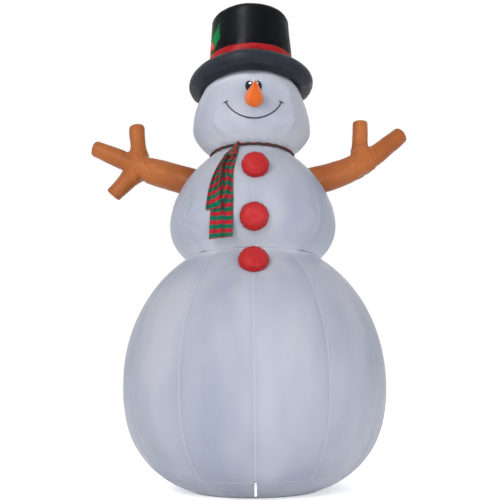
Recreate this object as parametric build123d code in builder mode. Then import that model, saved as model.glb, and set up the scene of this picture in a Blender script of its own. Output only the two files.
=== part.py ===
"""Inflatable yard snowman, 6.1 m tall, as an assembly of separate sewn, inflated and hard parts.

Frame: +Z up, front faces -Y, origin at the middle of the base floor where it rests on the ground.
All lengths are millimetres. Azimuth is counted from the front (-Y) towards +X, in degrees.
"""

import math
import os

from build123d import *

os.makedirs("parts", exist_ok=True)

# ---------------------------------------------------------------- driving dimensions
HEIGHT = 6100.0  # ground to the top of the hat
WALL = 4.0  # thickness that stands for every air-tight skin
LAYER = 3.0  # thickness that stands for a sewn-on fabric layer
GAP = 0.4  # clearance between a sewn-on layer and the skin below it

# Each ball: equator height and radius, then reach and roundness below and above the equator.
BASE_BALL = dict(equator=1305.0, radius=1590.0, low=(1387.0, 2.55), high=(1725.0, 2.0),
                 span=(4.0, 2772.0))
TORSO_BALL = dict(equator=3222.0, radius=1062.0, low=(661.7, 2.26), high=(1102.5, 1.748),
                  span=(2772.0, 4170.0))
HEAD_BALL = dict(equator=4490.0, radius=770.5, low=(392.8, 2.0655), high=(960.1, 2.0),
                 span=(4170.0, 5184.0))

SEAM_Z = 207.0  # seam between the long base panels and the skirt
WAIST_Z = BASE_BALL["span"][1]
NECK_Z = TORSO_BALL["span"][1]
HEAD_TOP_Z = HEAD_BALL["span"][1]
BAFFLE_HOLE_R = 300.0

BASE_SEAMS = [30.0 * i for i in range(12)]
TORSO_FRONT_PANEL = 47.0  # the two front panels are a little wider than the other six
HEAD_FRONT_PANEL = 40.0

BRIM_Z = 5190.0
BRIM_RING_R = 700.0
BRIM_TUBE_R = 125.0
CROWN_BOTTOM_R = 570.0
CROWN_TOP_R = 520.0
CROWN_TOP_Z = 6030.0
BAND_LOW_Z = 5275.0
BAND_HIGH_Z = 5490.0

HEAD_TURN = 2.4  # the head and its face are turned this much to the snowman's left
NOSE_Z = 4640.0
NOSE_R = 118.0
NOSE_LENGTH = 500.0
FACE_GAP = 1.2  # between the head's skin and what is printed on it
EYE_X = 54.0
EYE_Z = 4831.0
EYE_WIDTH = 98.0
EYE_HEIGHT = 155.0
MOUTH_END = (343.0, 4633.0)
MOUTH_LOW_Z = 4394.0
MOUTH_LINE = 13.0
MOUTH_TICK = 62.0

BUTTON_R = 165.0
BUTTON_DOME = 118.0
BUTTON_BACK = 22.0
BUTTONS = {  # the ball each one is on, its height and its azimuth
    "button_top": (TORSO_BALL, 3728.0, 2.4),
    "button_middle": (TORSO_BALL, 3090.0, 1.0),
    "button_bottom": (BASE_BALL, 2556.0, 0.3)}

SCARF_AZIMUTH = -21.0
SCARF_KNOT = (598.0, 4070.0)  # radius and height of the knot's middle, on the shoulder
SCARF_WRAP = (556.0, 4144.0)  # radius and height of the middle of the wrap
KNOT_R = 84.0
TAIL_TOP_Z = 3994.0  # both tails swing about their tops, at the knot's lower edge
TAIL_NEAR = 6.0
LONG_TAIL_END_Z = 2850.0
LONG_TAIL_OPENS_Z = 3172.0
LONG_TAIL_GATHERED = (-23.2, -12.8)  # azimuths of the two edges
LONG_TAIL_OPEN = (-27.6, -12.8)
SHORT_TAIL_END_Z = 3196.0
SHORT_TAIL = (-34.4, -23.6)

PORT_R = 110.0  # air holes in the torso behind each arm
FOREARM_ROOT_R = 192.0
PALM_R = 172.0
TWIG_END_R = 103.0
LEFT_ARM = dict(root=(-690.0, 3780.0), palm=(-1475.0, 4035.0),
                twigs=[(-1519.0, 4596.0), (-2078.0, 4298.0), (-1815.0, 3652.0)])
RIGHT_ARM = dict(root=(700.0, 3783.0), palm=(1465.0, 4060.0),
                 twigs=[(1437.0, 4625.0), (1985.0, 4450.0)])

WEBBING = 25.0  # width of every strap
STRAP = 2.0  # thickness of every strap
TETHERS = {"tether_ring_left": -90.0, "tether_ring_right": 90.0, "tether_ring_rear": 180.0}
RING_WIRE_R = 2.5
RING_ARC_R = 17.5
RING_Z = 3490.0
STAKE_LOOPS = {"stake_loop_front": 0.0, "stake_loop_rear_left": -120.0,
               "stake_loop_rear_right": 120.0}
LOOP_TOP_Z = 200.0
LOOP_LENGTH = 124.0
LOOP_DEPTH = 24.0
LOOP_Y = 1174.0  # radius of the loop's middle

ZIP_Y = 1594.0  # the zipper's flat facing, on the back of the base ball
ZIP_LOW_Z = 1125.0
ZIP_HIGH_Z = 1485.0
SLIDER_Z = 1462.0

BLOWER_Z = 190.0
DUCT_R = 148.8
DUCT_WALL = 3.8
FLANGE_R = 166.0
DUCT_FRONT_Y = 1395.0
DUCT_SPLIT_Y = 1480.0
DUCT_REAR_Y = 1570.0
SHAFT_R = 4.0
SLEEVE_R = 152.0


# ---------------------------------------------------------------- helpers
def radius_at(ball, z, inset=0.0):
    """Radius of a ball's skin at a height; inset moves the surface inwards."""
    reach, power = ball["low"] if z < ball["equator"] else ball["high"]
    share = min(1.0, abs(z - ball["equator"]) / (reach - inset))
    return (ball["radius"] - inset) * (1 - share**power) ** (1 / power)


def skin_points(ball, z_low, z_high, inset=0.0, spans=8):
    """Points up a ball's outline, with one on its equator, where the two halves of the curve meet."""
    equator = ball["equator"]
    below = [equator + (z_low - equator) * math.cos(math.pi / 2 * i / spans) for i in range(spans)]
    above = [equator + (z_high - equator) * math.sin(math.pi / 2 * i / spans) for i in range(1, spans + 1)]
    if z_low >= equator:
        below = []
        above = [z_low + (z_high - z_low) * i / spans for i in range(spans + 1)]
    elif z_high <= equator:
        above = []
        below = [z_low + (z_high - z_low) * i / spans for i in range(spans + 1)]
    else:
        above.insert(0, equator)
    return [(radius_at(ball, z, inset), z) for z in below + above]


def meridian(azimuth):
    """The upright plane through the axis at an azimuth: x is the radius and y the height."""
    a = math.radians(azimuth)
    return Plane(origin=(0, 0, 0), x_dir=(math.sin(a), -math.cos(a), 0),
                 z_dir=(-math.cos(a), -math.sin(a), 0))


def band_face(outer, inner):
    """Draws a closed strip between two outlines that both run upwards."""
    with BuildLine() as edge:
        Spline(*outer)
        Line(outer[-1], inner[-1])
        Spline(*inner)
        Line(inner[0], outer[0])
    make_face(edge.edges())


def revolved_band(outer, inner, azimuth=0.0, arc=360.0):
    with BuildPart() as band:
        with BuildSketch(meridian(azimuth)):
            band_face(outer, inner)
        revolve(axis=Axis.Z, revolution_arc=arc)
    return band.part


def full_ball(ball, outset=0.0):
    """A ball as one filled solid, used to trim what is sewn onto it."""
    z_low, z_high = ball["span"]
    points = skin_points(ball, z_low, z_high, -outset)
    with BuildPart() as filled:
        with BuildSketch(meridian(0)):
            with BuildLine():
                Spline(*points)
                Polyline(points[-1], (0, z_high), (0, z_low), points[0])
            make_face()
        revolve(axis=Axis.Z)
    return filled.part


def layer_on(ball, z_low, z_high, near=GAP, thick=LAYER):
    """A thin closed layer lying just outside a ball's skin."""
    return revolved_band(skin_points(ball, z_low, z_high, -near - thick),
                         skin_points(ball, z_low, z_high, -near))


def seam_azimuths(front_panel, panels=8):
    """Seams of a ball with two front panels of one width and equal ones round the rest."""
    rest = (360.0 - 2 * front_panel) / (panels - 2)
    return [0.0] + [front_panel + rest * i for i in range(panels - 1)]


def tilt_at(ball, z):
    """Angle of a ball's outward normal above the horizon, in degrees."""
    step = 1.0
    return math.degrees(math.atan2(radius_at(ball, z - step) - radius_at(ball, z + step), 2 * step))


def save(part, name):
    part.label = name
    export_step(part, f"parts/{name}.step")


# ---------------------------------------------------------------- inflated body
def panels_of(ball, z_low, z_high, seams, cuts=()):
    """The ball's upright panels, each a separate solid from one seam to the next."""
    outer = skin_points(ball, z_low, z_high)
    inner = skin_points(ball, z_low, z_high, WALL)
    panels = []
    for start, end in zip(seams, [*seams[1:], seams[0] + 360.0]):
        with BuildPart() as panel:
            add(revolved_band(outer, inner, start, end - start))
            for cut in cuts:
                add(cut, mode=Mode.SUBTRACT)
        panels.extend(panel.part.solids())
    return Compound(children=panels)


def limb_plane(start, end):
    """A plane at a limb's start whose normal runs along the limb; both points are (x, z)."""
    return Plane(origin=(start[0], 0, start[1]), x_dir=(0, 1, 0),
                 z_dir=(end[0] - start[0], 0, end[1] - start[1]))


def limb(start, end, start_r, end_r, mode=Mode.ADD):
    """A tapered tube between two (x, z) points in the plane of the arms."""
    with Locations(limb_plane(start, end).location):
        Cone(start_r, end_r, math.dist(start, end),
             align=(Align.CENTER, Align.CENTER, Align.MIN), mode=mode)


with BuildPart() as blower_port:
    with BuildSketch(Plane.XZ.offset(-DUCT_SPLIT_Y)):
        with Locations((0, BLOWER_Z)):
            Circle(SLEEVE_R)
    extrude(amount=DUCT_SPLIT_Y - 700)

arm_ports = []
for arm in (LEFT_ARM, RIGHT_ARM):
    with BuildPart() as port:
        with BuildSketch(limb_plane(arm["root"], arm["palm"]).offset(-300)):
            Circle(PORT_R)
        extrude(amount=900)
    arm_ports.append(port.part)

save(panels_of(BASE_BALL, SEAM_Z, WAIST_Z - WALL / 2, BASE_SEAMS, [blower_port.part]), "base_panels")
save(panels_of(TORSO_BALL, WAIST_Z + WALL / 2, NECK_Z - WALL / 2,
               seam_azimuths(TORSO_FRONT_PANEL), arm_ports), "torso_panels")
save(panels_of(HEAD_BALL, NECK_Z + WALL / 2, HEAD_TOP_Z,
               [HEAD_TURN + seam for seam in seam_azimuths(HEAD_FRONT_PANEL)]), "head_panels")

with BuildPart() as base_skirt:
    add(revolved_band(skin_points(BASE_BALL, WALL, SEAM_Z), skin_points(BASE_BALL, WALL, SEAM_Z, WALL)))
    add(blower_port.part, mode=Mode.SUBTRACT)
save(base_skirt.part, "base_skirt")

with BuildPart() as base_floor:
    with BuildSketch():
        Circle(radius_at(BASE_BALL, WALL))
    extrude(amount=WALL)
save(base_floor.part, "base_floor")


def baffle(z, radius):
    """A tie disc across the inside of a seam, with a hole that lets the air and the lamps through."""
    with BuildPart() as disc:
        with BuildSketch(Plane.XY.offset(z - WALL / 2)):
            Circle(radius)
            Circle(BAFFLE_HOLE_R, mode=Mode.SUBTRACT)
        extrude(amount=WALL)
    return disc.part


save(Compound(children=[baffle(WAIST_Z, radius_at(BASE_BALL, WAIST_Z)).solid(),
                        baffle(NECK_Z, radius_at(HEAD_BALL, NECK_Z)).solid()]), "baffles")


# ---------------------------------------------------------------- hat
with BuildPart() as hat_seam_ring:
    with BuildSketch(Plane.XY.offset(HEAD_TOP_Z)):
        Circle(CROWN_BOTTOM_R + 3)
        Circle(radius_at(HEAD_BALL, HEAD_TOP_Z) - 14, mode=Mode.SUBTRACT)
    extrude(amount=BRIM_Z - HEAD_TOP_Z)
save(hat_seam_ring.part, "hat_seam_ring")

with BuildPart() as hat_brim:
    with BuildSketch(meridian(0)):
        with Locations((BRIM_RING_R, BRIM_Z)):
            Circle(BRIM_TUBE_R)
            Circle(BRIM_TUBE_R - WALL, mode=Mode.SUBTRACT)
    revolve(axis=Axis.Z)
save(hat_brim.part, "hat_brim")


def crown_radius(z):
    share = (z - BRIM_Z) / (CROWN_TOP_Z - BRIM_Z)
    return CROWN_BOTTOM_R + (CROWN_TOP_R - CROWN_BOTTOM_R) * share


def crown_strip(z_low, z_high, near, far):
    """A ring that follows the crown's side between two distances outside it."""
    with BuildPart() as strip:
        with BuildSketch(meridian(0)):
            with BuildLine():
                Polyline((crown_radius(z_low) + near, z_low), (crown_radius(z_low) + far, z_low),
                         (crown_radius(z_high) + far, z_high), (crown_radius(z_high) + near, z_high),
                         close=True)
            make_face()
        revolve(axis=Axis.Z)
    return strip.part


save(crown_strip(BRIM_Z, CROWN_TOP_Z, -WALL, 0), "hat_crown")
save(crown_strip(BAND_LOW_Z, BAND_HIGH_Z, GAP, GAP + LAYER), "hat_band")

# The top panel is a low dome with a rounded shoulder and a small flat middle.
TOP_RISE = HEIGHT - CROWN_TOP_Z
SHOULDER = 52.0
TUFT_R = 12.0
with BuildPart() as hat_top:
    with BuildSketch(meridian(0)):
        for inset, mode in ((0.0, Mode.ADD), (WALL, Mode.SUBTRACT)):
            edge, rise = CROWN_TOP_R - inset, TOP_RISE - inset
            with BuildLine():
                Polyline((TUFT_R, CROWN_TOP_Z + rise), (0, CROWN_TOP_Z + rise), (0, CROWN_TOP_Z),
                         (edge, CROWN_TOP_Z))
                TangentArc((edge, CROWN_TOP_Z), (edge - SHOULDER, CROWN_TOP_Z + SHOULDER - inset / 2),
                           tangent=(0, 1))
                ThreePointArc((edge - SHOULDER, CROWN_TOP_Z + SHOULDER - inset / 2),
                              (edge / 2, CROWN_TOP_Z + rise - (rise - SHOULDER) / 4),
                              (TUFT_R, CROWN_TOP_Z + rise))
            make_face(mode=mode)
    revolve(axis=Axis.Z)
save(hat_top.part, "hat_top")


def holly_leaf(length, width):
    """A pointed leaf outline with two scallops a side, its stem at the origin and its tip along +Y."""
    side = [(0, 0), (0.30, 0.13), (0.34, 0.34), (0.50, 0.42), (0.36, 0.62), (0.30, 0.66), (0, 1)]
    right = [(x * width, y * length) for x, y in side]
    left = [(-x, y) for x, y in reversed(right)]
    with BuildLine() as edge:
        for outline in (right, left):
            ThreePointArc(*outline[0:3])
            ThreePointArc(outline[2], outline[3], outline[4])
            ThreePointArc(*outline[4:7])
    make_face(edge.edges())


HOLLY_AZIMUTH = -67.0
HOLLY_Z = 5520.0
LEAF_LENGTH = 410.0
LEAF_WIDTH = 200.0
LEAF_TURNS = (-30.0, 22.0)  # lean of each leaf from upright
holly_layer = crown_strip(HOLLY_Z - 60, CROWN_TOP_Z - 20, GAP, GAP + LAYER)
berry_layer = crown_strip(HOLLY_Z - 60, CROWN_TOP_Z - 20, GAP * 2 + LAYER, GAP * 2 + LAYER + 14)


def on_crown(layer, *outlines):
    """Cuts flat outlines, drawn facing the holly's azimuth, out of a layer round the crown."""
    pieces = []
    for outline in outlines:
        with BuildPart() as piece:
            with BuildSketch(Plane(origin=(0, 0, HOLLY_Z), x_dir=(1, 0, 0), z_dir=(0, -1, 0))
                             .rotated((0, 0, HOLLY_AZIMUTH))):
                outline()
            extrude(amount=CROWN_BOTTOM_R + 60)
            add(layer, mode=Mode.INTERSECT)
        pieces.extend(piece.part.solids())
    return Compound(children=pieces)


def leaf_outline(turn, shift):
    """One leaf's outline, leaning by an angle about its stem; shift keeps two leaves side by side."""
    def draw():
        with BuildSketch(mode=Mode.PRIVATE) as leaf:
            holly_leaf(LEAF_LENGTH, LEAF_WIDTH)
        add(leaf.sketch.rotate(Axis.Z, -turn).translate((shift, 0, 0)))
        with Locations((-shift * 40, 0)):
            Rectangle(abs(shift) * 80, LEAF_LENGTH * 3, mode=Mode.SUBTRACT)
    return draw


def berry_outline(x, z):
    def draw():
        with Locations((x, z)):
            Circle(30)
    return draw


save(on_crown(holly_layer, *[leaf_outline(turn, 8.0 * math.copysign(1, turn)) for turn in LEAF_TURNS]),
     "holly_leaves")
save(on_crown(berry_layer, *[berry_outline(x, z) for x, z in ((-34, 62), (34, 62), (0, 122))]),
     "holly_berries")


# ---------------------------------------------------------------- face
face_layer = layer_on(HEAD_BALL, 4300, 5000, near=FACE_GAP)
face_plane = Plane.XZ  # its normal is -Y, towards the front

with BuildPart() as nose:
    for inset, mode in ((0.0, Mode.ADD), (WALL, Mode.SUBTRACT)):
        with BuildSketch(Plane.YZ, mode=Mode.PRIVATE) as half:
            root_y = -radius_at(HEAD_BALL, NOSE_Z) + 40
            tip_y = root_y - 40 - NOSE_LENGTH + inset * 3
            with BuildLine():
                Line((root_y, NOSE_Z), (root_y, NOSE_Z + NOSE_R - inset))
                Spline((root_y, NOSE_Z + NOSE_R - inset), (root_y - 190, NOSE_Z + 0.80 * NOSE_R - inset),
                       (root_y - 400, NOSE_Z + 0.40 * NOSE_R - inset), (tip_y, NOSE_Z))
                Line((tip_y, NOSE_Z), (root_y, NOSE_Z))
            make_face()
        revolve(half.sketch, axis=Axis((0, 0, NOSE_Z), (0, 1, 0)), mode=mode)
    add(full_ball(HEAD_BALL, GAP), mode=Mode.SUBTRACT)
save(nose.part.rotate(Axis.Z, HEAD_TURN), "nose")


def on_face(draw, layer):
    """Cuts an outline, drawn on the upright plane that faces forwards, out of a layer on the head."""
    with BuildPart() as piece:
        with BuildSketch(face_plane):
            draw()
        extrude(amount=HEAD_BALL["radius"] + 60)
        add(layer, mode=Mode.INTERSECT)
    return piece.part


def draw_eye(x):
    def draw():
        with Locations((x, EYE_Z)):
            Ellipse(EYE_WIDTH / 2, EYE_HEIGHT / 2)
    return draw


def draw_highlight(x):
    def draw():
        with Locations((x, EYE_Z + 36)):
            Circle(15)
    return draw


def draw_mouth():
    x, z = MOUTH_END
    with BuildLine() as smile:
        ThreePointArc((-x, z), (0, MOUTH_LOW_Z), (x, z))
    trace(lines=smile.line, line_width=MOUTH_LINE)
    for side in (-1, 1):
        along = smile.line % (0.0 if side < 0 else 1.0)
        across = Vector(-along.Y, along.X, 0) * (MOUTH_TICK / 2)
        end = Vector(side * x, z, 0)
        with BuildLine(mode=Mode.PRIVATE) as tick:
            Line(end - across, end + across)
        trace(lines=tick.line, line_width=MOUTH_LINE)


highlight_layer = layer_on(HEAD_BALL, 4300, 5000, near=FACE_GAP + LAYER + GAP)
save(Compound(children=[on_face(draw_eye(x), face_layer).solid().rotate(Axis.Z, HEAD_TURN)
                        for x in (-EYE_X, EYE_X)]), "eyes")
save(Compound(children=[on_face(draw_highlight(0.8 * x), highlight_layer).solid().rotate(Axis.Z, HEAD_TURN)
                        for x in (-EYE_X, EYE_X)]), "eye_highlights")
save(on_face(draw_mouth, face_layer).rotate(Axis.Z, HEAD_TURN), "mouth")


# ---------------------------------------------------------------- buttons
def cushion(radius, dome, back):
    """A round cushion on the XY plane, domed above and below it, with a small flat tuft each side."""
    with BuildPart() as puff:
        with BuildSketch(Plane.XZ):
            with BuildLine():
                Spline((radius, 0), (0.80 * radius, 0.66 * dome), (0.42 * radius, 0.94 * dome),
                       (TUFT_R, dome), tangents=((0, 1), (-1, 0)))
                Polyline((TUFT_R, dome), (0, dome), (0, -back), (TUFT_R, -back))
                Spline((TUFT_R, -back), (0.60 * radius, -0.80 * back), (radius, 0),
                       tangents=((1, 0), (0, 1)))
            make_face()
        revolve(axis=Axis.Z)
    return puff.part


def button(ball, z):
    """A puffed disc sewn on by its back: a tall dome outside and a low one inside, at the skin's tilt."""
    tilt = math.radians(tilt_at(ball, z))
    outward = Vector(0, -math.cos(tilt), math.sin(tilt))
    centre = Vector(0, -radius_at(ball, z), z) + outward * (BUTTON_BACK - 4)
    placed = Plane(origin=centre, x_dir=(1, 0, 0), z_dir=outward).location * cushion(
        BUTTON_R, BUTTON_DOME, BUTTON_BACK)
    with BuildPart() as trimmed:
        add(placed)
        add(full_ball(ball, GAP), mode=Mode.SUBTRACT)
    return trimmed.part


for name, (ball, z, azimuth) in BUTTONS.items():
    save(button(ball, z).rotate(Axis.Z, azimuth), name)


# ---------------------------------------------------------------- scarf
with BuildPart() as scarf_wrap:
    with BuildSketch(meridian(0)):
        with Locations(SCARF_WRAP):
            Ellipse(18, 24)
    revolve(axis=Axis.Z)

save(scarf_wrap.part, "scarf_wrap")

# The knot is a cushion that lies on the slope of the shoulder, just below the wrap.
knot_r, knot_z = SCARF_KNOT
knot_tilt = math.radians(tilt_at(TORSO_BALL, knot_z))
knot_out = Vector(0, -math.cos(knot_tilt), math.sin(knot_tilt))
with BuildPart() as scarf_knot:
    add(Plane(origin=Vector(0, -knot_r, knot_z) + knot_out * 14, x_dir=(1, 0, 0), z_dir=knot_out).location
        * cushion(KNOT_R, 46, 20))
    add(scarf_wrap.part, mode=Mode.SUBTRACT)
    add(full_ball(TORSO_BALL, GAP), mode=Mode.SUBTRACT)
    add(full_ball(HEAD_BALL, GAP), mode=Mode.SUBTRACT)
save(scarf_knot.part.rotate(Axis.Z, SCARF_AZIMUTH), "scarf_knot")


def tail_band(z_top, z_end, first, last):
    """A band of cloth that lies over the shoulder and hangs straight down past the equator."""
    equator = TORSO_BALL["equator"]
    with BuildPart() as band:
        with BuildSketch(meridian(first)):
            if z_top > equator:
                band_face(skin_points(TORSO_BALL, equator, z_top, -TAIL_NEAR - LAYER),
                          skin_points(TORSO_BALL, equator, z_top, -TAIL_NEAR))
            with BuildLine():
                near, low_top = TORSO_BALL["radius"] + TAIL_NEAR, min(z_top, equator)
                Polyline((near, z_end), (near + LAYER, z_end), (near + LAYER, low_top), (near, low_top),
                         close=True)
            make_face()
        revolve(axis=Axis.Z, revolution_arc=last - first)
    return band.part


# The long tail is gathered beside the short one, and opens to its full width below it.
with BuildPart() as scarf_tail_long:
    add(tail_band(TAIL_TOP_Z, LONG_TAIL_END_Z, *LONG_TAIL_GATHERED))
    add(tail_band(LONG_TAIL_OPENS_Z, LONG_TAIL_END_Z, *LONG_TAIL_OPEN))
save(scarf_tail_long.part, "scarf_tail_long")
with BuildPart() as scarf_tail_short:
    add(tail_band(TAIL_TOP_Z, SHORT_TAIL_END_Z, *SHORT_TAIL))
save(scarf_tail_short.part, "scarf_tail_short")


# ---------------------------------------------------------------- arms
torso_trim = full_ball(TORSO_BALL, 0.5)


def arm_and_twigs(arm):
    """The forearm with its palm, and its twigs as separate sewn-on tubes, all hollow."""
    with BuildPart() as forearm:
        limb(arm["root"], arm["palm"], FOREARM_ROOT_R, PALM_R)
        with Locations((arm["palm"][0], 0, arm["palm"][1])):
            Sphere(PALM_R)
        limb(arm["root"], arm["palm"], FOREARM_ROOT_R - WALL, PALM_R - WALL, mode=Mode.SUBTRACT)
        with Locations((arm["palm"][0], 0, arm["palm"][1])):
            Sphere(PALM_R - WALL, mode=Mode.SUBTRACT)
        add(torso_trim, mode=Mode.SUBTRACT)
    with BuildPart() as palm_trim:
        limb(arm["root"], arm["palm"], FOREARM_ROOT_R + GAP, PALM_R + GAP)
        with Locations((arm["palm"][0], 0, arm["palm"][1])):
            Sphere(PALM_R + GAP)
    twigs = []
    for tip in arm["twigs"]:
        with BuildPart() as twig:
            limb(arm["palm"], tip, PALM_R * 0.86, TWIG_END_R)
            with BuildPart(mode=Mode.PRIVATE) as hollow:
                limb(arm["palm"], tip, PALM_R * 0.86 - WALL, TWIG_END_R - WALL)
                with BuildSketch(limb_plane(tip, arm["palm"])):
                    Circle(TWIG_END_R * 2)
                extrude(amount=WALL, mode=Mode.SUBTRACT)
            add(hollow.part, mode=Mode.SUBTRACT)
            add(palm_trim.part, mode=Mode.SUBTRACT)
            for other in twigs:
                add(other[1], mode=Mode.SUBTRACT)
        with BuildPart() as keep_out:
            limb(arm["palm"], tip, PALM_R * 0.86 + GAP, TWIG_END_R + GAP)
        twigs.append((twig.part, keep_out.part))
    solids = [max(part.solids(), key=lambda s: s.volume) for part, _ in twigs]
    return max(forearm.part.solids(), key=lambda s: s.volume), Compound(children=solids)


for side, arm in (("left", LEFT_ARM), ("right", RIGHT_ARM)):
    forearm, twigs = arm_and_twigs(arm)
    save(forearm, f"arm_{side}")
    save(twigs, f"arm_{side}_twigs")


# ---------------------------------------------------------------- tether rings and stake loops
EYE_R = RING_WIRE_R + 0.06  # the strap's eye runs on the ring's straight bar
EYE_OUTER_R = EYE_R + STRAP
ring_y = -(radius_at(TORSO_BALL, RING_Z - RING_ARC_R) + 9.0)
ring_axis = Axis((0, ring_y, RING_Z), (1, 0, 0))

with BuildPart() as upright_tab:
    with BuildSketch(Plane.YZ.offset(-WEBBING / 2)):
        with Locations((ring_y, RING_Z)):
            Circle(EYE_OUTER_R)
        with Locations((ring_y + 2.2, RING_Z + 32)):
            Rectangle(4, 64)
        with Locations((ring_y, RING_Z)):
            Circle(EYE_R, mode=Mode.SUBTRACT)
    extrude(amount=WEBBING)
    with Locations((0, ring_y + 14, RING_Z + 52)):
        Box(WEBBING + 20, 24, 36)
with BuildPart() as tether_tab:  # leant back to lie along the skin
    add(upright_tab.part.rotate(ring_axis, -tilt_at(TORSO_BALL, RING_Z + 32)))
    add(full_ball(TORSO_BALL, GAP), mode=Mode.SUBTRACT)

with BuildPart() as tether_ring:
    with BuildSketch(Plane.YZ.offset(-RING_ARC_R)):
        with Locations((ring_y, RING_Z)):
            Circle(RING_WIRE_R)
    extrude(amount=2 * RING_ARC_R)
    with BuildLine(Plane(origin=(0, ring_y, RING_Z), x_dir=(1, 0, 0), z_dir=(0, -1, 0))) as bow:
        CenterArc((0, 0), RING_ARC_R, 180, 180)
    with BuildSketch(Plane(origin=bow.line @ 0, z_dir=bow.line % 0)):
        Circle(RING_WIRE_R)
    sweep(path=bow.line)
    with Locations((-RING_ARC_R, ring_y, RING_Z), (RING_ARC_R, ring_y, RING_Z)):
        Sphere(RING_WIRE_R)

save(Compound(children=[tether_tab.part.rotate(Axis.Z, a).solid() for a in TETHERS.values()]), "tether_tabs")
for name, azimuth in TETHERS.items():
    save(tether_ring.part.rotate(Axis.Z, azimuth), name)

with BuildPart() as stake_loop:
    with BuildSketch(Plane.YZ.offset(-WEBBING / 2)):
        with Locations((-LOOP_Y, LOOP_TOP_Z - LOOP_LENGTH / 2)):
            SlotOverall(LOOP_LENGTH, LOOP_DEPTH, rotation=90)
            SlotOverall(LOOP_LENGTH - 2 * STRAP, LOOP_DEPTH - 2 * STRAP, rotation=90, mode=Mode.SUBTRACT)
    extrude(amount=WEBBING)

with BuildPart() as stake_anchor:
    with Locations((0, -LOOP_Y + 6, LOOP_TOP_Z + 7)):
        Box(WEBBING, 20, 12)
    add(full_ball(BASE_BALL, GAP), mode=Mode.SUBTRACT)

save(Compound(children=[stake_anchor.part.rotate(Axis.Z, a).solid() for a in STAKE_LOOPS.values()]),
     "stake_anchors")
for name, azimuth in STAKE_LOOPS.items():
    save(stake_loop.part.rotate(Axis.Z, azimuth), name)


# ---------------------------------------------------------------- deflation zipper
ZIP_MIDDLE_Z = (ZIP_LOW_Z + ZIP_HIGH_Z) / 2
ZIP_LENGTH = ZIP_HIGH_Z - ZIP_LOW_Z
TOOTH_PITCH = 6.0
TOOTH_DEPTH = 3.0
TAPE_DEPTH = 1.2

with BuildPart() as zipper_facing:
    with Locations((0, ZIP_Y - 12, ZIP_MIDDLE_Z)):
        Box(84, 24, ZIP_LENGTH + 40)
    fillet(zipper_facing.edges().filter_by(Axis.Y), 14)
    add(full_ball(BASE_BALL, GAP), mode=Mode.SUBTRACT)
save(zipper_facing.part, "zipper_facing")

with BuildPart() as zipper_tapes:
    with Locations((-12.6, ZIP_Y + TAPE_DEPTH / 2, ZIP_MIDDLE_Z), (12.6, ZIP_Y + TAPE_DEPTH / 2, ZIP_MIDDLE_Z)):
        Box(19, TAPE_DEPTH, ZIP_LENGTH)
save(zipper_tapes.part, "zipper_tapes")

tooth_count = int((ZIP_LENGTH - 24) / TOOTH_PITCH)
with BuildPart() as zipper_teeth:
    with Locations((0, ZIP_Y + TOOTH_DEPTH / 2, ZIP_MIDDLE_Z)):
        Box(1.4, TOOTH_DEPTH - 1.0, ZIP_LENGTH - 20)
    for i in range(tooth_count):
        side = 1 if i % 2 else -1
        with Locations((side * 1.1, ZIP_Y + TOOTH_DEPTH / 2, ZIP_LOW_Z + 14 + TOOTH_PITCH * i)):
            Box(3.8, TOOTH_DEPTH, 3.2)

with BuildPart() as zipper_stops:
    with Locations((0, ZIP_Y + 2.2, ZIP_LOW_Z + 4), (0, ZIP_Y + 2.2, ZIP_HIGH_Z - 3)):
        Box(6, 4.4, 5)
save(Compound(children=[zipper_teeth.part.solid(), *zipper_stops.part.solids()]), "zipper_chain")

PULL_PIVOT_Y = ZIP_Y + 13.0
PULL_PIVOT_Z = SLIDER_Z + 4.0
with BuildPart() as zipper_slider:
    with Locations((0, ZIP_Y + 5.6, SLIDER_Z)):
        Box(14, 8, 22)
    fillet(zipper_slider.edges().filter_by(Axis.Y), 3)
    with Locations((0, ZIP_Y + 2.5, SLIDER_Z)):
        Box(7, 2 * TAPE_DEPTH, 40, mode=Mode.SUBTRACT)
    with Locations((-5.2, PULL_PIVOT_Y - 1.5, PULL_PIVOT_Z), (5.2, PULL_PIVOT_Y - 1.5, PULL_PIVOT_Z)):
        Box(1.8, 8, 7)
    with BuildSketch(Plane.YZ.offset(-10)):
        with Locations((PULL_PIVOT_Y, PULL_PIVOT_Z)):
            Circle(1.05)
    extrude(amount=20, mode=Mode.SUBTRACT)
save(zipper_slider.part, "zipper_slider")

with BuildPart() as zipper_pull:
    with BuildSketch(Plane.YZ.offset(-6.1)):
        with Locations((PULL_PIVOT_Y, PULL_PIVOT_Z)):
            Circle(1.0)
    extrude(amount=12.2)
    with BuildSketch(Plane.YZ.offset(-4.1)):
        with Locations((PULL_PIVOT_Y, PULL_PIVOT_Z)):
            Circle(2.0)
    extrude(amount=8.2)
    with BuildSketch(Plane.XZ.offset(-PULL_PIVOT_Y - 1)):
        with Locations((0, PULL_PIVOT_Z - 19)):
            RectangleRounded(8.2, 38, 3)
        with Locations((0, PULL_PIVOT_Z - 31)):
            Circle(2.2, mode=Mode.SUBTRACT)
    extrude(amount=2)
save(zipper_pull.part, "zipper_pull")


# ---------------------------------------------------------------- blower
def duct_plane(y):
    """The plane across the blower's duct at a depth; its normal points forwards, along -Y."""
    return Plane(origin=(0, y, BLOWER_Z), x_dir=(1, 0, 0), z_dir=(0, -1, 0))


def ring(y_front, y_rear, outer, inner, mode=Mode.ADD):
    """A round or hollow disc across the duct between two depths."""
    with BuildSketch(duct_plane(y_rear)) as disc:
        Circle(outer)
        if inner:
            Circle(inner, mode=Mode.SUBTRACT)
    extrude(disc.sketch, amount=y_rear - y_front, mode=mode)


FLANGE_DEPTH = 6.0
SCREW_CIRCLE_R = 157.5
SCREW_R = 2.0
SCREWS = 6
MOTOR_R = 41.0
MOTOR_FRONT_Y = 1402.0
MOTOR_REAR_Y = 1468.0
IMPELLER_Y = 1516.0
BLADES = 7
BLADE_TIP_R = 141.0


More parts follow.
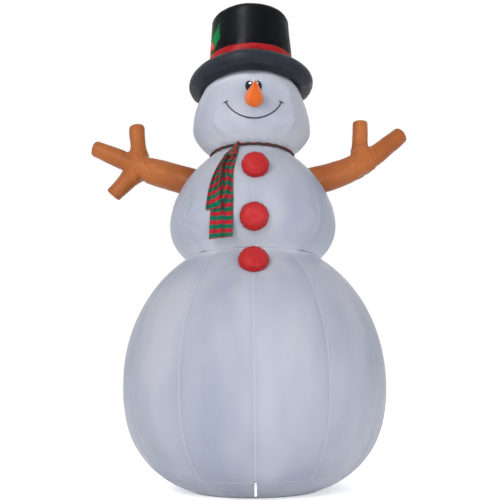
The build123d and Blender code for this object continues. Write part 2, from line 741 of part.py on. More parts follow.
def screw_holes(y_front, y_rear):
    with BuildSketch(duct_plane(y_rear + 1)) as holes:
        with PolarLocations(SCREW_CIRCLE_R, SCREWS):
            Circle(SCREW_R + 0.1)
    extrude(holes.sketch, amount=y_rear - y_front + 2, mode=Mode.SUBTRACT)


with BuildPart() as blower_sleeve:
    ring(1010, 1440, SLEEVE_R - 0.2, SLEEVE_R - 3)
save(blower_sleeve.part, "blower_sleeve")

with BuildPart() as blower_clamp:
    ring(1412, 1426, SLEEVE_R + 2.2, SLEEVE_R)
    with Locations((0, 1419, BLOWER_Z + SLEEVE_R + 9)):
        Box(16, 14, 14)
save(blower_clamp.part, "blower_clamp")

with BuildPart() as housing_front:
    ring(DUCT_FRONT_Y, DUCT_SPLIT_Y, DUCT_R, DUCT_R - DUCT_WALL)
    ring(DUCT_SPLIT_Y - FLANGE_DEPTH, DUCT_SPLIT_Y, FLANGE_R, DUCT_R - 1)
    screw_holes(DUCT_SPLIT_Y - FLANGE_DEPTH, DUCT_SPLIT_Y)
    with BuildSketch(Plane.YZ.offset(DUCT_R - 8)):
        with Locations((1456, BLOWER_Z)):
            Circle(6.1)
    extrude(amount=20, mode=Mode.SUBTRACT)
save(housing_front.part, "blower_housing_front")

with BuildPart() as housing_rear:
    ring(DUCT_SPLIT_Y, DUCT_REAR_Y, DUCT_R, DUCT_R - DUCT_WALL)
    ring(DUCT_SPLIT_Y, DUCT_SPLIT_Y + FLANGE_DEPTH, FLANGE_R, DUCT_R - 1)
    ring(DUCT_REAR_Y - FLANGE_DEPTH, DUCT_REAR_Y, FLANGE_R, DUCT_R - 1)
    screw_holes(DUCT_SPLIT_Y, DUCT_REAR_Y)
save(housing_rear.part, "blower_housing_rear")

with BuildPart() as grille:
    ring(DUCT_REAR_Y, DUCT_REAR_Y + 4, FLANGE_R, 138)
    for radius in (20, 40, 60, 80, 100, 120):
        ring(DUCT_REAR_Y, DUCT_REAR_Y + 4, radius + 1.6, radius - 1.6)
    ring(DUCT_REAR_Y, DUCT_REAR_Y + 4, 8, 0)
    with BuildSketch(duct_plane(DUCT_REAR_Y + 4)):
        with PolarLocations(70, 8):
            Rectangle(140, 4)
    extrude(amount=4)
    screw_holes(DUCT_REAR_Y, DUCT_REAR_Y + 4)
save(grille.part, "blower_grille")

with BuildPart() as motor:
    ring(MOTOR_FRONT_Y, MOTOR_REAR_Y, MOTOR_R, 0)
    ring(MOTOR_REAR_Y, MOTOR_REAR_Y + 8, 14, 0)
    ring(MOTOR_FRONT_Y + 12, MOTOR_REAR_Y + 8, SHAFT_R + 0.05, 0, mode=Mode.SUBTRACT)
save(motor.part, "blower_motor")

with BuildPart() as spider:
    ring(1428, 1452, MOTOR_R + 4, MOTOR_R)
    with BuildSketch(duct_plane(1444)):
        with PolarLocations((MOTOR_R + DUCT_R) / 2, 4, start_angle=45):
            Rectangle(DUCT_R - MOTOR_R - 4, 9)
        Circle(MOTOR_R + 1, mode=Mode.SUBTRACT)
    extrude(amount=8)
    with BuildSketch(duct_plane(1450)):
        Circle(DUCT_R + 20)
        Circle(DUCT_R - DUCT_WALL, mode=Mode.SUBTRACT)
    extrude(amount=30, mode=Mode.SUBTRACT)
save(spider.part, "motor_spider")

with BuildPart() as shaft:
    ring(MOTOR_FRONT_Y + 14, IMPELLER_Y + 24, SHAFT_R, 0)
save(shaft.part, "motor_shaft")

with BuildPart() as impeller:
    ring(IMPELLER_Y - 20, IMPELLER_Y + 20, 38, SHAFT_R)
    for i in range(BLADES):
        with Locations(duct_plane(IMPELLER_Y).location * Rotation(0, 0, 360 / BLADES * i) * Rotation(35, 0, 0)):
            Box(BLADE_TIP_R - 20, 44, 3, align=(Align.MIN, Align.CENTER, Align.CENTER))
    ring(IMPELLER_Y - 30, IMPELLER_Y + 30, SHAFT_R, 0, mode=Mode.SUBTRACT)
save(impeller.part, "impeller")

with BuildPart() as screws:
    for head_y, length in ((DUCT_SPLIT_Y + FLANGE_DEPTH, 13.0), (DUCT_REAR_Y + 4, 10.5)):
        with BuildSketch(duct_plane(head_y)):
            with PolarLocations(SCREW_CIRCLE_R, SCREWS):
                Circle(SCREW_R)
        extrude(amount=length)
        with BuildSketch(duct_plane(head_y + 2.6)):
            with PolarLocations(SCREW_CIRCLE_R, SCREWS):
                Circle(4)
        extrude(amount=2.6)
save(Compound(children=screws.part.solids()), "blower_screws")

with BuildPart() as stand:
    with Locations((0, 1524, 55)):
        Box(230, 52, 110)
    with BuildSketch(duct_plane(1600)):
        Circle(DUCT_R)
    extrude(amount=200, mode=Mode.SUBTRACT)
    with Locations((0, 1524, 0)):
        Box(150, 60, 56, mode=Mode.SUBTRACT)
save(stand.part, "blower_stand")

with BuildPart() as gland:
    with BuildSketch(Plane.YZ.offset(DUCT_R - DUCT_WALL - 3)):
        with Locations((1456, BLOWER_Z)):
            Circle(6)
    extrude(amount=26)
    with BuildSketch(Plane.YZ.offset(DUCT_R + 0.2)):
        with Locations((1456, BLOWER_Z)):
            RegularPolygon(9, 6)
    extrude(amount=12)
    with BuildSketch(Plane.YZ.offset(DUCT_R - 20)):
        with Locations((1456, BLOWER_Z)):
            Circle(3.4)
    extrude(amount=60, mode=Mode.SUBTRACT)
save(gland.part, "cable_gland")


# ---------------------------------------------------------------- lights and ballast inside
STRAP_TOP_Z = HEIGHT - 40.0
LAMP_HEIGHTS = [560.0, 1300.0, 2040.0, 3150.0, 3750.0, 4560.0, 5560.0]
CABLE_Y = 12.0
CABLE_R = 3.0

with BuildPart() as light_strap:
    with Locations((0, 0, (WALL + STRAP_TOP_Z) / 2)):
        Box(WEBBING, STRAP, STRAP_TOP_Z - WALL)
save(light_strap.part, "light_strap")

with BuildPart() as light_cable:
    with BuildLine(Plane.YZ):
        route = FilletPolyline((MOTOR_FRONT_Y, BLOWER_Z), (CABLE_Y, BLOWER_Z),
                               (CABLE_Y, LAMP_HEIGHTS[-1] + 20), radius=320)
    with BuildSketch(Plane(origin=route @ 0, z_dir=route % 0)):
        Circle(CABLE_R)
    sweep(path=route)
save(light_cable.part, "light_cable")

with BuildPart() as sockets:
    for z in LAMP_HEIGHTS:
        with BuildSketch(Plane.XZ.offset(STRAP / 2)):
            with Locations((0, z)):
                Circle(15)
        extrude(amount=38)
save(Compound(children=sockets.part.solids()), "lamp_sockets")

with BuildPart() as globes:
    for z in LAMP_HEIGHTS:
        with BuildSketch(Plane.YZ):
            with BuildLine():
                Line((-STRAP / 2 - 38, z), (-STRAP / 2 - 38, z + 14))
                Spline((-STRAP / 2 - 38, z + 14), (-STRAP / 2 - 66, z + 27), (-STRAP / 2 - 92, z + 19),
                       (-STRAP / 2 - 102, z), tangents=((-1, 0.4), (0, -1)))
                Line((-STRAP / 2 - 102, z), (-STRAP / 2 - 38, z))
            make_face()
        revolve(axis=Axis((0, 0, z), (0, 1, 0)))
save(Compound(children=globes.part.solids()), "lamp_globes")

with BuildPart() as clips:
    for z in LAMP_HEIGHTS:
        with Locations((0, STRAP / 2 + 8, z)):
            Box(18, 16, 12)
    with BuildSketch(Plane.XY):
        with Locations((0, CABLE_Y)):
            Circle(CABLE_R + 0.05)
    extrude(amount=HEIGHT, mode=Mode.SUBTRACT)
save(Compound(children=clips.part.solids()), "cable_clips")

with BuildPart() as ballast:
    with Locations((0, 0, WALL + 35)):
        with PolarLocations(470, 4, start_angle=45):
            Box(200, 320, 70)
    fillet(ballast.edges(), 24)
save(Compound(children=ballast.part.solids()), "ballast_bags")
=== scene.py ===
"""The looks of an inflatable yard snowman: sewn nylon balls, top hat, branching arms, scarf and blower."""

import math

import bmesh
import bpy
import numpy as np
from mathutils import Matrix, Vector


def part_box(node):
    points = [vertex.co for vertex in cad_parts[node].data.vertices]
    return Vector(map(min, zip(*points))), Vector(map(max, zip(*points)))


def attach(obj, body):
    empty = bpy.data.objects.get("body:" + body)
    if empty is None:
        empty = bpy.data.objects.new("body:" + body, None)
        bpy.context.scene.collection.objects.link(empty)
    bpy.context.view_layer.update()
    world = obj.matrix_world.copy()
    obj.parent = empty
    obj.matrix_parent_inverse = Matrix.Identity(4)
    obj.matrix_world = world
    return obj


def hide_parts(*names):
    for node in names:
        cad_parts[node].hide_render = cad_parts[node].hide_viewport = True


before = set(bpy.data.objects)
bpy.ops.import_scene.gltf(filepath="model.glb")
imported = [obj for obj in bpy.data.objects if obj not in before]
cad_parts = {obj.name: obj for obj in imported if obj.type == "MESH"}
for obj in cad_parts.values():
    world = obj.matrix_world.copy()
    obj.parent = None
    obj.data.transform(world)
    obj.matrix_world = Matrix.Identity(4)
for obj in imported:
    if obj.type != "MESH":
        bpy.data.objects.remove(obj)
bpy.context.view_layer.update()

ROOT = "snowman"
WAIST, NECK, UNDER_BRIM = 2.772, 4.170, 5.04  # heights of the folds between the balls and below the hat

# ---- camera, lights and floor
EYE = Vector((0.0, -8.7, 1.149))
PITCH = math.radians(11.45)
YAW = math.radians(-0.25)  # the view's centre is a little to the left of the figure
ROLL = math.radians(0.6)


def make_camera():
    """A standing photographer's view, a few metres in front of the figure and looking up."""
    data = bpy.data.cameras.new("camera")
    data.lens, data.sensor_width = 50.0, 36.0
    data.clip_end = 300
    camera = bpy.data.objects.new("camera", data)
    bpy.context.scene.collection.objects.link(camera)
    ahead = Vector((math.sin(YAW) * math.cos(PITCH), math.cos(YAW) * math.cos(PITCH), math.sin(PITCH)))
    right = ahead.cross(Vector((0, 0, 1))).normalized()
    up = right.cross(ahead)
    tilted_right = right * math.cos(ROLL) - up * math.sin(ROLL)
    tilted_up = up * math.cos(ROLL) + right * math.sin(ROLL)
    turn = Matrix((tilted_right, tilted_up, -ahead)).transposed().to_4x4()
    camera.matrix_world = Matrix.Translation(EYE) @ turn
    bpy.context.scene.camera = camera


def area_light(name, at, aim, size, power, tint=(1, 1, 1), spread=180.0):
    data = bpy.data.lights.new(name, "AREA")
    data.shape, data.size, data.energy, data.color = "SQUARE", size, power, tint
    data.spread = math.radians(spread)
    lamp = bpy.data.objects.new(name, data)
    bpy.context.scene.collection.objects.link(lamp)
    lamp.location = at
    lamp.rotation_euler = (Vector(aim) - Vector(at)).to_track_quat("-Z", "Y").to_euler()


def make_studio():
    """A white room: soft key and fill in front, a low rim light behind, and a narrow one for the hat."""
    scene = bpy.context.scene
    scene.view_settings.view_transform = "Standard"
    world = bpy.data.worlds.new("studio")
    world.use_nodes = True
    world.node_tree.nodes["Background"].inputs[0].default_value = (1, 1, 1, 1)
    world.node_tree.nodes["Background"].inputs[1].default_value = 1.0
    scene.world = world
    area_light("key", (-5.0, -12.0, 6.4), (0, 0, 3.0), 4.5, 980, (1.0, 0.985, 0.965))
    area_light("fill", (5.0, -11.0, 0.9), (0, 0, 2.2), 3.0, 420, (0.97, 0.98, 1.0))
    area_light("strip", (-4.6, -11.0, 13.5), (0, 0, 5.9), 1.4, 15.0, spread=11.0)
    area_light("rim", (5.0, 9.0, 8.0), (0, 0, 3.6), 4.0, 60)
    mesh = bpy.data.meshes.new("floor")
    mesh.from_pydata([(-60, -60, 0), (60, -60, 0), (60, 60, 0), (-60, 60, 0)], [], [(0, 1, 2, 3)])
    floor = bpy.data.objects.new("floor", mesh)
    scene.collection.objects.link(floor)
    floor.location.z = -0.0005
    pale = bpy.data.materials.new("floor")
    pale.use_nodes = True
    shader = pale.node_tree.nodes["Principled BSDF"]
    shader.inputs["Base Color"].default_value = (0.99, 0.99, 0.99, 1)
    shader.inputs["Roughness"].default_value = 0.9
    shader.inputs["Specular IOR Level"].default_value = 0.1
    shader.inputs["Emission Color"].default_value = (1, 1, 1, 1)
    shader.inputs["Emission Strength"].default_value = 0.4  # a sweep lit from below
    mesh.materials.append(pale)


# ---- smooth random fields
TABLE = np.random.default_rng(20).uniform(-1, 1, (256, 256))


def field(x, y, seed=0, wrap=256):
    """Smooth noise from -1 to 1 with a knot at each whole number; it repeats in x after wrap knots."""
    x, y = np.broadcast_arrays(np.asarray(x, float), np.asarray(y, float) + 31.7 * seed)
    i, j = np.floor(x).astype(int), np.floor(y).astype(int)
    u, v = x - i, y - j
    u, v = u * u * (3 - 2 * u), v * v * (3 - 2 * v)
    i0, i1, j0, j1 = i % wrap, (i + 1) % wrap, j % 256, (j + 1) % 256
    low = TABLE[i0, j0] * (1 - u) + TABLE[i1, j0] * u
    high = TABLE[i0, j1] * (1 - u) + TABLE[i1, j1] * u
    return low * (1 - v) + high * v


def ridges(x, y, seed=0, wrap=256):
    """Noise made of narrow raised folds: near 1 along the folds and falling to -1 between them."""
    return 1 - 4 * np.minimum(np.abs(field(x, y, seed, wrap)), 0.5)


# ---- meshes
def finish_piece(mesh, name, node_names, material, body=ROOT):
    """Makes an object of a mesh, with its material, the body it rides and the CAD nodes it replaces."""
    piece = bpy.data.objects.new(name, mesh)
    bpy.context.scene.collection.objects.link(piece)
    mesh.materials.append(material)
    mesh.polygons.foreach_set("use_smooth", [True] * len(mesh.polygons))
    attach(piece, body)
    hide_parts(*node_names)
    return piece


def store(mesh, name, values):
    """Keeps one number for each point of a mesh, for its material to read."""
    layer = mesh.attributes.new(name, "FLOAT", "POINT")
    layer.data.foreach_set("value", np.asarray(values, dtype=np.float32).ravel())


def grid_mesh(name, points, cap_start=False, cap_end=False, attributes=None):
    """A mesh from rows of points, each row closed into a ring."""
    rows, cols = points.shape[:2]
    left = np.arange(rows * cols).reshape(rows, cols)
    right = np.roll(left, -1, axis=1)
    quads = np.stack([left[:-1], right[:-1], right[1:], left[1:]], axis=-1).reshape(-1, 4)
    faces = quads.tolist()
    if cap_start:
        faces.append(left[0, ::-1].tolist())
    if cap_end:
        faces.append(left[-1].tolist())
    mesh = bpy.data.meshes.new(name)
    mesh.from_pydata(points.reshape(-1, 3).tolist(), [], faces)
    for key, values in (attributes or {}).items():
        store(mesh, key, np.broadcast_to(values, (rows, cols)))
    mesh.validate()
    return mesh


def weld(mesh, within=1e-5):
    """Joins points of a mesh that lie on each other."""
    work = bmesh.new()
    work.from_mesh(mesh)
    bmesh.ops.remove_doubles(work, verts=work.verts, dist=within)
    bmesh.ops.recalc_face_normals(work, faces=work.faces)
    work.to_mesh(mesh)
    work.free()


def closed(points):
    """The rows of a tube with the first repeated at the end, turned so that its faces look outward."""
    return np.concatenate([points, points[:1]], axis=0)[::-1]


def towards(azimuth):
    """Unit x and y of an azimuth, counted from the front towards +X, in radians."""
    return np.sin(azimuth), -np.cos(azimuth)


def in_knots(turns, knots):
    """Azimuths counted in knots of the random fields, with this many knots to a full turn."""
    return turns / (2 * np.pi) * knots


def outline_steps(points, step):
    """Walks an outline of (radius, height) points at an even pace: points, outward normals, distance."""
    points = np.asarray(points, float)
    run = np.concatenate([[0], np.cumsum(np.linalg.norm(np.diff(points, axis=0), axis=1))])
    at = np.linspace(0, run[-1], max(3, int(round(run[-1] / step)) + 1))
    radius, height = np.interp(at, run, points[:, 0]), np.interp(at, run, points[:, 1])
    along = np.stack([np.gradient(radius, at), np.gradient(height, at)], axis=1)
    along /= np.linalg.norm(along, axis=1, keepdims=True)
    normal = np.stack([along[:, 1], -along[:, 0]], axis=1)
    return radius, height, normal, at


def place_rows(radius, height, azimuth, lift, normal):
    """Points of a turned surface, each lifted along the outline's normal."""
    r = radius[:, None] + lift * normal[:, 0][:, None]
    z = height[:, None] + lift * normal[:, 1][:, None]
    x, y = towards(azimuth)
    return np.stack([r * x, r * y, z + 0 * x], axis=-1)


# ---- sewn balls
class Ball:
    """A ball's outline: a rounded curve below and above its equator."""

    def __init__(self, node, equator, low, high):
        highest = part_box(node)[1]
        self.radius, self.top = highest[0], highest[2]
        self.equator, self.low, self.high = equator, low, high  # low and high are each half's reach and power

    def radius_at(self, z):
        z = np.asarray(z, float)
        reach = np.where(z < self.equator, self.low[0], self.high[0])
        power = np.where(z < self.equator, self.low[1], self.high[1])
        share = np.clip(np.abs(z - self.equator) / reach, 0, 1)
        return self.radius * (1 - share**power) ** (1 / power)

    def outline(self, bottom, top):
        z = np.linspace(bottom, top, 4000)
        return np.stack([self.radius_at(z), z], axis=1)


BASE = Ball("base_panels", 1.305, (1.387, 2.55), (1.725, 2.0))
TORSO = Ball("torso_panels", 3.222, (0.6617, 2.26), (1.1025, 1.748))
HEAD = Ball("head_panels", 4.490, (0.3928, 2.0655), (0.9601, 2.0))
BASE_SEAMS = [30.0 * i for i in range(12)]
HEAD_TURN = 2.4  # the face looks this many degrees to the picture's right
TORSO_FRONT, HEAD_FRONT = 45.5, 38.5  # degrees across each of the two front panels


def seams_with_front_panels(width):
    """Azimuths of the seams of a ball that has two broad panels in front and six equal ones behind."""
    rest = (360.0 - 2 * width) / 6
    return [0.0] + [width + rest * i for i in range(7)]


def panel_columns(seams, columns):
    """Azimuths round a ball, closer together by the seams, with each one's panel and place in it."""
    azimuth, panel, place = [], [], []
    even = np.linspace(0, 1, columns, endpoint=False)
    across = 0.22 * even + 0.78 * (0.5 - 0.5 * np.cos(np.pi * even))
    for i, start in enumerate(seams):
        end = seams[(i + 1) % len(seams)] + (360.0 if i == len(seams) - 1 else 0.0)
        azimuth.append(np.radians(start + (end - start) * across))
        panel.append(np.full(columns, i))
        place.append(np.stack([across * math.radians(end - start),
                               (1 - across) * math.radians(end - start)]))
    return np.concatenate(azimuth), np.concatenate(panel), np.concatenate(place, axis=1)


# painted light in the folds at the waist, the neck and the brim, standing in for light through the thin
# cloth: height, share and reach of each
FOLD_PAINTED_LIGHT = ((WAIST, 0.55, 0.08), (NECK, 0.85, 0.08), (UNDER_BRIM - 0.02, 0.6, 0.08))


def sewn_lift(at, length, radius, azimuth, panel, place, seed, ends=(0.006, 0.006), crisp=1.0):
    """How far the skin stands in or out, and the distance to the nearest seam. It has valleys at the
    seams, puckers beside them and gathers at the ends; crisp is how sharp the valleys are."""
    to_left = place[0][None, :] * radius[:, None]
    to_right = place[1][None, :] * radius[:, None]
    near = np.minimum(to_left, to_right)
    side = np.where(to_left < to_right, panel * 2, panel * 2 + 1)
    run = at[:, None] + 0 * near
    valley = -0.008 * crisp * np.exp(-near / 0.028) - 0.013 * np.exp(-near / 0.17)
    welt = 0.0045 * crisp * np.exp(-(near / 0.004) ** 2)
    strength = 0.25 + 0.75 * np.clip(field(side * 7.3, run / 0.42, seed + 1), -0.2, 1)
    slant = 0.25 * near * np.sign(field(side * 3.1, run / 0.9, seed + 5))
    pucker = ridges(side * 5.0 + 0.5, (run + slant) / 0.052, seed + 2)
    puckers = 0.0026 * strength * pucker * np.exp(-near / 0.055) * np.clip(near / 0.012, 0, 1)
    knots = 48
    turn = in_knots(azimuth[None, :], knots)
    low_end, high_end = np.exp(-run / 0.11), np.exp(-(length - run) / 0.11)
    gather = ridges(turn + 0.15 * field(turn, run / 0.1, seed + 6), run / 0.35, seed + 3, knots)
    gathers = gather * (ends[0] * low_end + ends[1] * high_end)
    slack = 0.004 * field(in_knots(azimuth[None, :], 20), run / 0.5, seed + 4, 20)
    return valley + welt + puckers + gathers + slack * np.clip(near / 0.15, 0, 1), near


def faceting(panel, place, amount):
    """Side panels pulled partly flat between their seams, and the front ones raised to meet them."""
    width = place[0] + place[1]
    front = (panel == 0) | (panel == panel.max())
    half = width[~front].min() / 2
    sag = 1 - math.cos(half) / np.cos(np.where(front, 0, place[0] - half))
    outer = np.where(panel == 0, place[0], place[1]) / width
    meet = 0.45 * (1 - math.cos(half))
    return amount * np.where(front, meet * np.clip(outer / 0.4 - 1.5, 0, 1) ** 2, meet - sag)


def ball_skin(name, ball, bottom, top, seams, columns, step, nodes, seed, kinks=(), hem=None, port=None,
              flatten=(0.0, 0.0, 1.0), faint=0.0, **more):
    """A ball's skin. kinks are (azimuth, height, turn, tall, wide): points where a seam is tied
    from inside; hem is the height of a level seam, under which there are no upright ones; port is
    the (x, z, radius) of a hole in its back; flatten is how flat the side panels are pulled, and
    between which heights; faint hides the seams' thread; more goes to sewn_lift."""
    radius, height, normal, at = outline_steps(ball.outline(bottom, top), step)
    azimuth, panel, place = panel_columns(seams, columns)
    lift, near = sewn_lift(at, at[-1], radius, azimuth, panel, place, seed, **more)
    lift = lift * np.clip((height[-1] - height) / 0.05, 0, 1)[:, None]
    amount, low, high = flatten
    ease = np.clip(np.minimum(height - low, high - height) / 0.2, 0, 1)
    lift = lift + faceting(panel, place, amount)[None, :] * (radius * ease)[:, None]
    turned = azimuth[None, :] + 0 * near
    if hem:
        over = np.clip((height - hem) / 0.12, 0, 1)[:, None]
        level = np.abs(height - hem)[:, None]
        knot = in_knots(azimuth[None, :], 120)
        lift = lift * over - 0.008 * np.exp(-level / 0.03) + 0.0035 * np.exp(-(level / 0.004) ** 2)
        lift = lift + 0.003 * ridges(knot, height[:, None] / 0.3, seed + 7, 120) * np.exp(-level / 0.06)
        near = np.where(height[:, None] > hem, np.minimum(near, level + 0.002), level + 0.002)
    for kink_azimuth, kink_height, turn, tall, wide in kinks:
        offset = (azimuth - math.radians(kink_azimuth) + np.pi) % (2 * np.pi) - np.pi
        across, upward = offset[None, :] * radius[:, None], height[:, None] - kink_height
        away = np.hypot(across, 0.8 * upward)
        lift = lift + tall * np.exp(-away / wide)
        bearing = np.arctan2(upward, across)
        creases = 0.20 * tall * np.cos(5 * bearing + 0.6) * np.exp(-((away - 0.13) / 0.11) ** 2)
        lift = lift + creases
        pull = math.radians(turn) * np.exp(-np.abs(upward) / 0.16)
        turned = turned + math.copysign(1, kink_azimuth) * pull * np.exp(-((offset[None, :] / 0.22) ** 2))
    points = place_rows(radius, height, turned, lift, normal)
    # painted light, strongest at each fold's height and fading away from it
    glow = 0 * near
    for fold, share, reach in FOLD_PAINTED_LIGHT:
        glow = glow + share * np.exp(-np.abs(height - fold) / reach)[:, None]
    mesh = grid_mesh(name, points, attributes={"seam": near + faint, "glow": np.clip(glow, 0, 1)})
    if port:
        cut_port(mesh, *port)
    return finish_piece(mesh, name, nodes, white)


def cut_port(mesh, x, z, size):
    """Opens a round hole through the back of a skin, with its rim on a circle."""
    work = bmesh.new()
    work.from_mesh(mesh)
    inside = [v for v in work.verts if v.co.y > 0 and math.hypot(v.co.x - x, v.co.z - z) < size]
    kept = set(inside)
    bmesh.ops.delete(work, geom=[f for f in work.faces if all(v in kept for v in f.verts)], context="FACES")
    for v in inside:
        if v.is_valid:
            away = Vector((v.co.x - x, v.co.z - z)).normalized() * size
            v.co.x, v.co.z = x + away.x, z + away.y
    work.to_mesh(mesh)
    work.free()


# ---- material building blocks
class Nodes:
    """Short names for building a material's nodes."""

    def __init__(self, name):
        self.material = bpy.data.materials.new(name)
        self.material.use_nodes = True
        self.tree = self.material.node_tree
        self.shader = self.tree.nodes["Principled BSDF"]

    def new(self, kind, **settings):
        node = self.tree.nodes.new("ShaderNode" + kind)
        for key, value in settings.items():
            setattr(node, key, value)
        return node

    def link(self, source, target):
        self.tree.links.new(source, target)

    def put(self, socket, value):
        if isinstance(value, bpy.types.NodeSocket):
            self.link(value, socket)
        elif hasattr(value, "__len__") and len(value) == 3 and socket.type == "RGBA":
            socket.default_value = (*value, 1)
        else:
            socket.default_value = value

    def place(self):
        return self.new("TexCoord").outputs["Object"]

    def attribute(self, name):
        return self.new("Attribute", attribute_name=name).outputs["Fac"]

    def math(self, operation, a, b=0.0):
        node = self.new("Math", operation=operation)
        self.put(node.inputs[0], a)
        self.put(node.inputs[1], b)
        return node.outputs[0]

    def mix(self, share, a, b):
        node = self.new("Mix", data_type="RGBA")
        self.put(node.inputs["Factor"], share)
        self.put(node.inputs[6], a)
        self.put(node.inputs[7], b)
        return node.outputs[2]

    def noise(self, scale, detail=2.0, stretch=None):
        where = self.place()
        if stretch:
            mapping = self.new("Mapping")
            mapping.inputs["Scale"].default_value = stretch
            self.link(where, mapping.inputs["Vector"])
            where = mapping.outputs[0]
        node = self.new("TexNoise")
        node.inputs["Scale"].default_value = scale
        node.inputs["Detail"].default_value = detail
        node.inputs["Roughness"].default_value = 0.5
        self.link(where, node.inputs["Vector"])
        return node.outputs["Fac"]

    def ramp(self, value, low, high, to_low=0.0, to_high=1.0):
        """A value from low to high, mapped to the range from to_low to to_high and kept inside it."""
        node = self.new("MapRange", clamp=True)
        for socket, number in zip(node.inputs[1:5], (low, high, to_low, to_high)):
            socket.default_value = number
        self.link(value, node.inputs[0])
        return node.outputs[0]

    def weave(self, per_metre):
        """Over-and-under threads, as a height from 0 to 1."""
        parts = self.new("SeparateXYZ")
        self.link(self.place(), parts.inputs[0])
        pitch = per_metre * 2 * math.pi
        level = self.math("ADD", parts.outputs[0], parts.outputs[1])
        across = self.math("SINE", self.math("MULTIPLY", level, pitch))
        upward = self.math("SINE", self.math("MULTIPLY", parts.outputs[2], pitch))
        return self.math("MULTIPLY_ADD", self.math("MULTIPLY", across, upward), 0.5)

    def bump(self, height, strength, distance, normal=None):
        node = self.new("Bump")
        node.inputs["Strength"].default_value = strength
        node.inputs["Distance"].default_value = distance
        self.put(node.inputs["Height"], height)
        if normal is not None:
            self.link(normal, node.inputs["Normal"])
        return node.outputs[0]

    def surface(self, colour, roughness=0.5, normal=None, **constant):
        self.put(self.shader.inputs["Base Color"], colour)
        self.put(self.shader.inputs["Roughness"], roughness)
        if normal is not None:
            self.link(normal, self.shader.inputs["Normal"])
        for key, value in constant.items():
            self.shader.inputs[key.replace("_", " ")].default_value = value
        return self.material


def nylon(name, dark, light, seam_tint=None, rough=(0.42, 0.55), sheen=0.05, gloss=0.3, crease=0.12,
          painted_light_tint=None):
    """Thin coated nylon: soft mottling, faint weave and slack, a thread line at the seams of a skin that
    has them with painted shade beside them, and painted light where a skin stores it."""
    n = Nodes(name)
    mottle = n.noise(1.5, 2.0, stretch=(1.0, 1.0, 0.35))
    colour = n.mix(n.ramp(mottle, 0.34, 0.66), dark, light)
    fine = n.noise(60.0, 2.0)
    colour = n.mix(n.ramp(fine, 0.2, 0.8, 0.0, 0.06), colour, light)
    if seam_tint:
        near = n.attribute("seam")
        # painted shade beside the seams, full within 1 cm and gone by 8 cm, where their valleys lie
        colour = n.mix(n.ramp(near, 0.01, 0.08, 0.12, 0.0), colour, tuple(0.8 * c for c in dark))
        colour = n.mix(n.ramp(near, 0.0035, 0.0065, 1.0, 0.0), colour, seam_tint)
    # painted light: a paler tint where the skin stores it
    if painted_light_tint:
        colour = n.mix(n.attribute("glow"), colour, painted_light_tint)
    slack = n.noise(5.0, 2.0)
    normal = n.bump(slack, 0.22, 0.05)
    creases = n.noise(26.0, 3.0, stretch=(1.0, 1.0, 0.5))
    normal = n.bump(creases, crease, 0.006, normal)
    normal = n.bump(n.weave(420.0), 0.06, 0.0006, normal)
    roughness = n.ramp(n.noise(9.0), 0.3, 0.7, rough[0], rough[1])
    return n.surface(colour, roughness, normal, Sheen_Weight=sheen, Sheen_Roughness=0.4,
                     Specular_IOR_Level=gloss)


# ---- hat
CROWN_RADII = (0.570, 0.520)
CROWN_HEIGHTS = (5.190, 6.030)
BAND_TOP = 5.49  # where the band draws the crown in


def crown_radius(z):
    """The crown narrows evenly towards its top."""
    return np.interp(z, CROWN_HEIGHTS, CROWN_RADII)


def make_brim(black_painted_lit):
    """A roll of cloth round the hat, which droops a little at both sides."""
    lowest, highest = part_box("hat_brim")
    tube = (highest[2] - lowest[2]) / 2
    ring, level = highest[0] - tube, (highest[2] + lowest[2]) / 2
    turns = np.linspace(0, 2 * np.pi, 320, endpoint=False)[None, :]
    round_tube = np.linspace(0, 2 * np.pi, 72, endpoint=False)[:, None]
    knots = 60
    knot = in_knots(turns, knots)
    low_seam = np.abs((round_tube + 0.55 + np.pi) % (2 * np.pi) - np.pi) * tube
    top_seam = np.abs((round_tube - 2.35 + np.pi) % (2 * np.pi) - np.pi) * tube
    loop = 1.3 * np.cos(round_tube) + 0.8 * np.sin(round_tube)
    lift = -0.008 * np.exp(-low_seam / 0.02) - 0.003 * np.exp(-top_seam / 0.03)
    lift = lift + 0.0035 * ridges(knot, loop, 3, knots) * np.exp(-low_seam / 0.05)
    lift = lift + 0.0012 * ridges(knot, loop, 4, knots) * np.exp(-top_seam / 0.05)
    lift = lift + 0.006 * field(in_knots(turns, 14), loop, 5, 14)
    out = ring + (tube + lift) * np.cos(round_tube)
    x, y = towards(turns)
    droop = (0.026 + 0.045 * np.clip(-x, 0, 1)) * x**2  # more on the picture's left
    z = level - droop + (tube + lift) * np.sin(round_tube)
    points, near = closed(np.stack([out * x, out * y, z], axis=-1)), closed(np.minimum(low_seam, top_seam))
    mesh = grid_mesh("hat_brim_skin", points, attributes={"seam": near})
    weld(mesh)
    finish_piece(mesh, "hat_brim_skin", ["hat_brim"], black_painted_lit)


